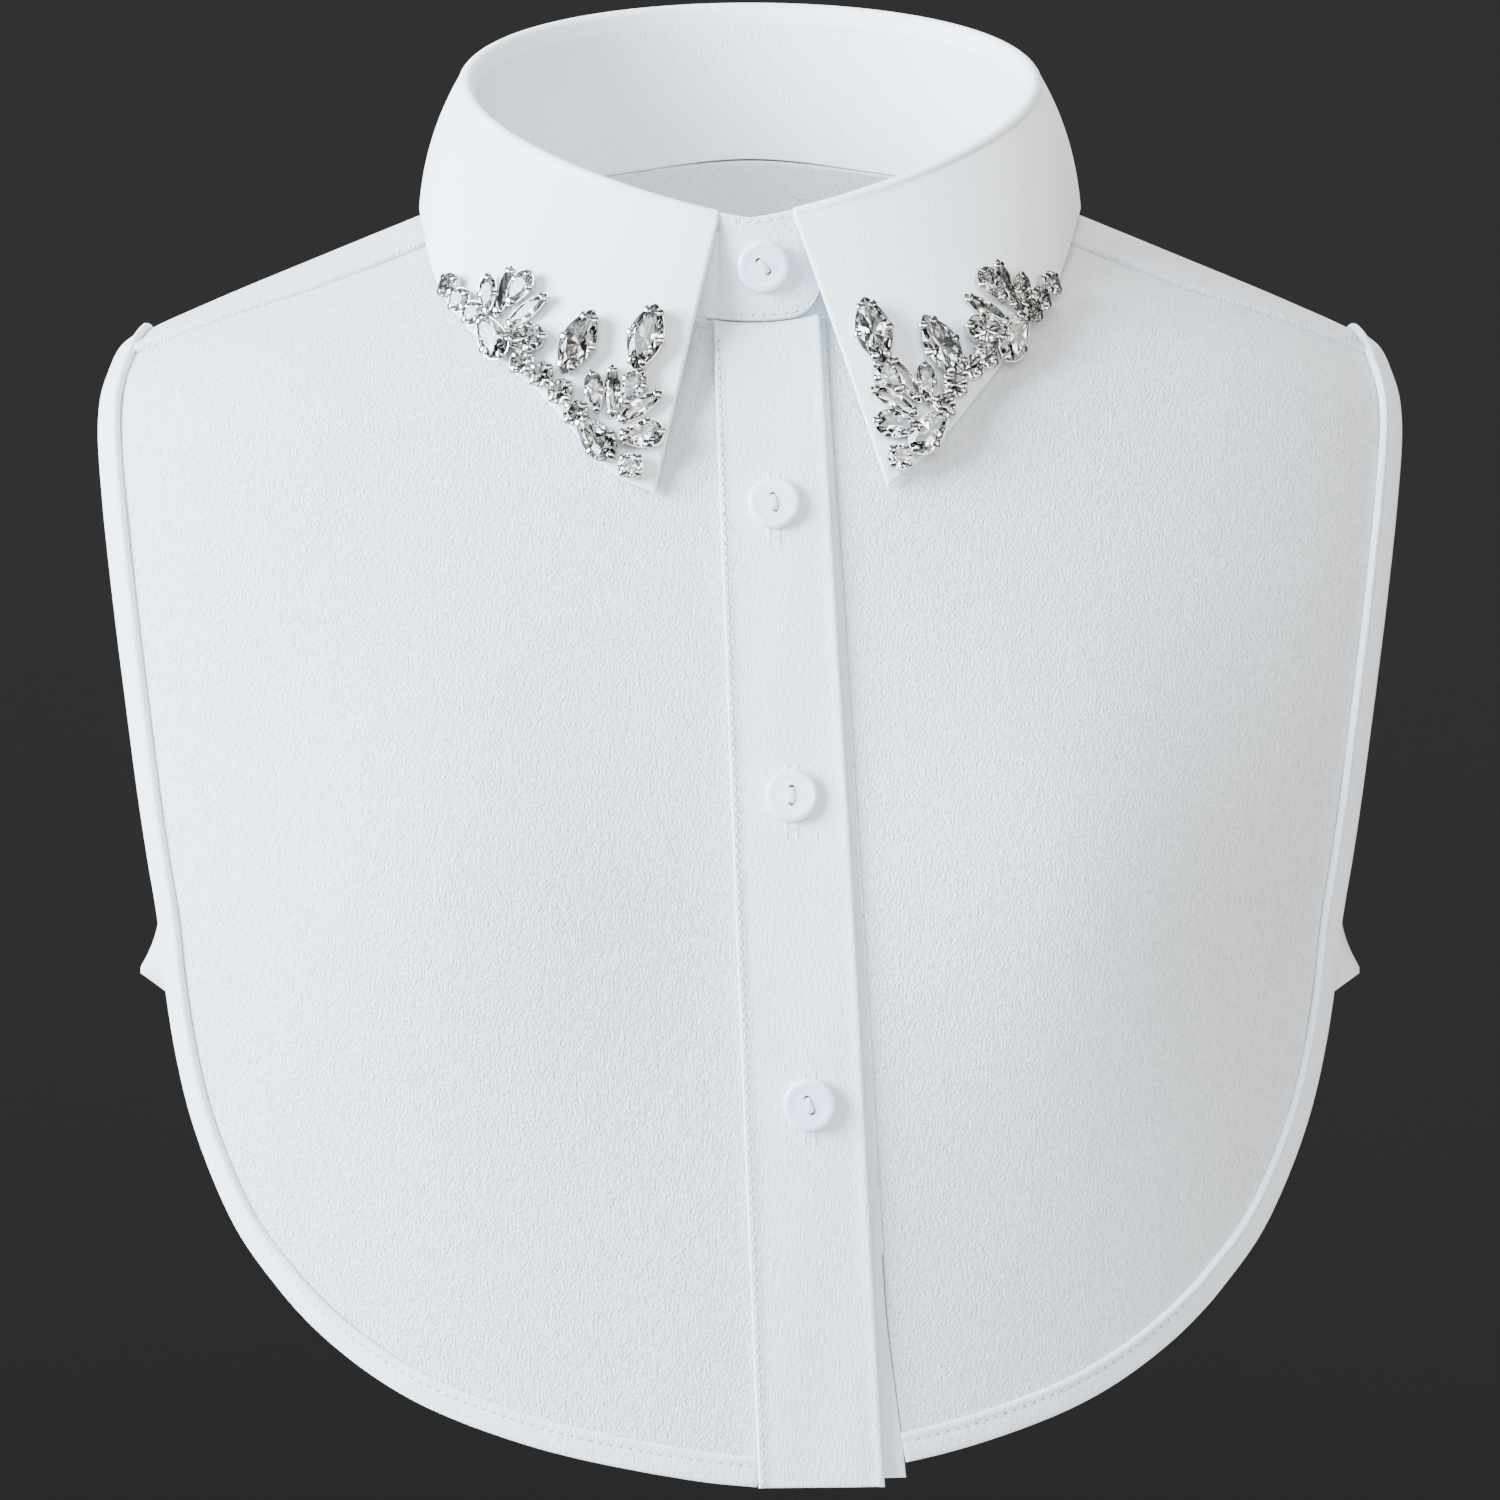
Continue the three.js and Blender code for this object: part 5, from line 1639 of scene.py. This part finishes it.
class COLLAR_OT_stones(bpy.types.Operator):
    """Sets the cut stones with their silver settings and claws on both leaves"""

    bl_idname = "collar.stones"
    bl_label = "Set stones"

    def execute(self, context):
        leaf = tree_of("collar_leaf_crepe")
        claw = bpy.data.objects.new("claw", new_mesh("claw", *claw_parts()))
        rng = np.random.default_rng(settings().seed)
        for word, side in SIDES.items():
            stones, cups, spots, facing, inward, sizes, nodes = [], [], [], [], [], [], []
            for name, kind, right, left in STONES:
                x, z = right if side == RIGHT else left
                lean = -side * STONE_LEANS.get(name, (0, 0))[0 if side == RIGHT else 1]
                place, axes = seat_frame(leaf, x, z, lean, girdle_height(kind))
                across = Matrix.Rotation(rng.normal() * STONE_TIP, 3, "X")
                along = Matrix.Rotation(rng.normal() * STONE_TIP, 3, "Y")
                axes = np.array(across @ along) @ axes
                points, faces = stone_parts(kind)
                stones.append((place + points @ axes, faces))
                points, faces = setting_parts(kind)
                cups.append((place + points @ axes, faces))
                size = claw_scale(kind)
                for angle in claw_places(kind):
                    edge = stone_outline(kind, np.array([angle, angle + 0.01]), 1)
                    along = unit(edge[1] - edge[0])
                    local = np.array([-along[1], along[0], 0])
                    start = np.array([*edge[0], girdle_height(kind) - 1.05 * size])
                    spots.append(place + start @ axes)
                    inward.append(local @ axes)
                    facing.append(axes[2])
                    sizes.append([size] * 3)
                nodes.append(f"stone_{word}_{name}")
            glass = new_mesh(f"stones_{word}", *joined(stones), smooth=False)
            new_piece(f"stones_{word}", glass, material_of("stone_glass"), nodes)
            silver = new_mesh(f"settings_{word}", *joined(cups), smooth=False)
            new_piece(f"settings_{word}", silver, material_of("setting_silver"), [])
            mesh = bpy.data.meshes.new(f"claws_{word}")
            mesh.from_pydata((np.array(spots) * MM).tolist(), [], [])
            hold(mesh, "facing", facing)
            hold(mesh, "inward", inward)
            hold(mesh, "size", sizes)
            silver = material_of("setting_silver")
            values = {"Claw": claw, "Size": settings().claw_size, "Material": silver}
            mesh = grown(f"claws_{word}", mesh, group_of("place_claws"), values)
            new_piece(f"claws_{word}", mesh, silver, [])
        bpy.data.objects.remove(claw)
        return {"FINISHED"}


class COLLAR_OT_stitching(bpy.types.Operator):
    """Sews the rows of stitches on the stand"""

    bl_idname = "collar.stitching"
    bl_label = "Stand stitching"

    def execute(self, context):
        pair = stand_pair()
        outer = pair[:, :, 1]
        tall = np.linalg.norm(outer[-1] - outer[0], axis=-1)
        turns = stand_turns()
        rows = len(outer) - 1
        lines = []
        facings = []
        for at, first, last in (
            (STAND["stitches_low"] / tall, -10.5, 17),
            (1 - STAND["stitches_high"] / tall, -7.6, 5.4),
        ):
            kept = (turns > first) & (turns < last)
            share = at[kept]
            low = np.clip((share * rows).astype(int), 0, rows - 1)
            t = (share * rows - low)[:, None]
            columns = np.flatnonzero(kept)
            a, b = outer[low, columns], outer[low + 1, columns]
            lines.append(a + (b - a) * t)
            facings.append(out_of_neck(turns[kept]))
        add_stitches("neck_band", lines, facings, STAND["pitch"])
        return {"FINISHED"}


class COLLAR_OT_stage(bpy.types.Operator):
    """Makes the floor, the plain wall, the soft lights and the camera"""

    bl_idname = "collar.stage"
    bl_label = "Floor, wall, light and camera"

    def execute(self, context):
        a = np.linspace(0, 2 * np.pi, 97)[:-1]
        circle = np.column_stack([np.cos(a), np.sin(a), 0 * a])
        low, high = [circle * STAGE["reach"] + (0, 0, STAGE[key]) for key in ("floor_at", "top_at")]
        floor = new_mesh("floor", low, [list(range(len(a)))])
        wall = new_mesh("wall", *band([low, high]))
        paints = (
            ("floor", floor, STAGE["floor_colour"]),
            ("wall", wall, settings().surround),
        )
        for name, mesh, colour in paints:
            material, tree, where = new_look(name + "_paint")
            cloud = tree.noise(where, 3, 2)
            shade = tree.blend(cloud, tuple(c * 0.96 for c in colour) + (1,), (*colour, 1))
            finish_look(tree, {"Roughness": 0.95, "Specular IOR Level": 0.1}, Base_Color=shade)
            mesh.materials.append(material)
            piece = bpy.data.objects.new(name, mesh)
            context.scene.collection.objects.link(piece)
        for name, place, size, power, colour in LIGHTS:
            data = bpy.data.lights.new(name, "AREA")
            data.shape = "RECTANGLE"
            data.size, data.size_y = size
            data.energy = power
            data.color = colour
            lamp = bpy.data.objects.new(name, data)
            lamp.location = place
            aim = Vector(STAGE["aim"]) - Vector(place)
            lamp.rotation_euler = aim.to_track_quat("-Z", "Y").to_euler()
            context.scene.collection.objects.link(lamp)
        world = bpy.data.worlds.new("plain_air")
        world.use_nodes = True
        inputs = world.node_tree.nodes["Background"].inputs
        inputs["Color"].default_value = STAGE["air_colour"]
        inputs["Strength"].default_value = STAGE["air_strength"]
        context.scene.world = world
        camera = bpy.data.objects.new("camera", bpy.data.cameras.new("camera"))
        camera.data.lens = CAMERA["lens"]
        camera.data.sensor_width = CAMERA["sensor"]
        camera.data.dof.use_dof = False
        camera.location = Vector(CAMERA["place"]) * MM
        camera.rotation_euler = (math.radians(90 - CAMERA["pitch"]), 0, 0)
        context.scene.collection.objects.link(camera)
        context.scene.camera = camera
        return {"FINISHED"}


class COLLAR_PT_panel(bpy.types.Panel):
    """Lists the collar's operators in the sidebar"""

    bl_idname = "COLLAR_PT_panel"
    bl_label = "Jewelled Shirt Collar"
    bl_space_type = "VIEW_3D"
    bl_region_type = "UI"
    bl_category = "Collar"

    def draw(self, context):
        looks = context.scene.collar_looks
        for name in ("seed", "grain", "rib_pitch", "claw_size", "surround"):
            self.layout.prop(looks, name)
        for operator in OPERATORS:
            self.layout.operator(operator.bl_idname)


OPERATORS = (
    COLLAR_OT_bib, COLLAR_OT_placket, COLLAR_OT_band, COLLAR_OT_straps, COLLAR_OT_buttons,
    COLLAR_OT_stones, COLLAR_OT_stitching, COLLAR_OT_stage,
)
CLASSES = (CollarLooks, *OPERATORS, COLLAR_PT_panel)


def register():
    for item in CLASSES:
        bpy.utils.register_class(item)
    bpy.types.Scene.collar_looks = bpy.props.PointerProperty(type=CollarLooks)


def unregister():
    del bpy.types.Scene.collar_looks
    for item in reversed(CLASSES):
        bpy.utils.unregister_class(item)


def main():
    register()
    bpy.ops.collar.bib()
    bpy.ops.collar.placket()
    bpy.ops.collar.band()
    bpy.ops.collar.straps()
    bpy.ops.collar.buttons()
    bpy.ops.collar.stones()
    bpy.ops.collar.stitching()
    bpy.ops.collar.stage()


if __name__ == "__main__":
    main()
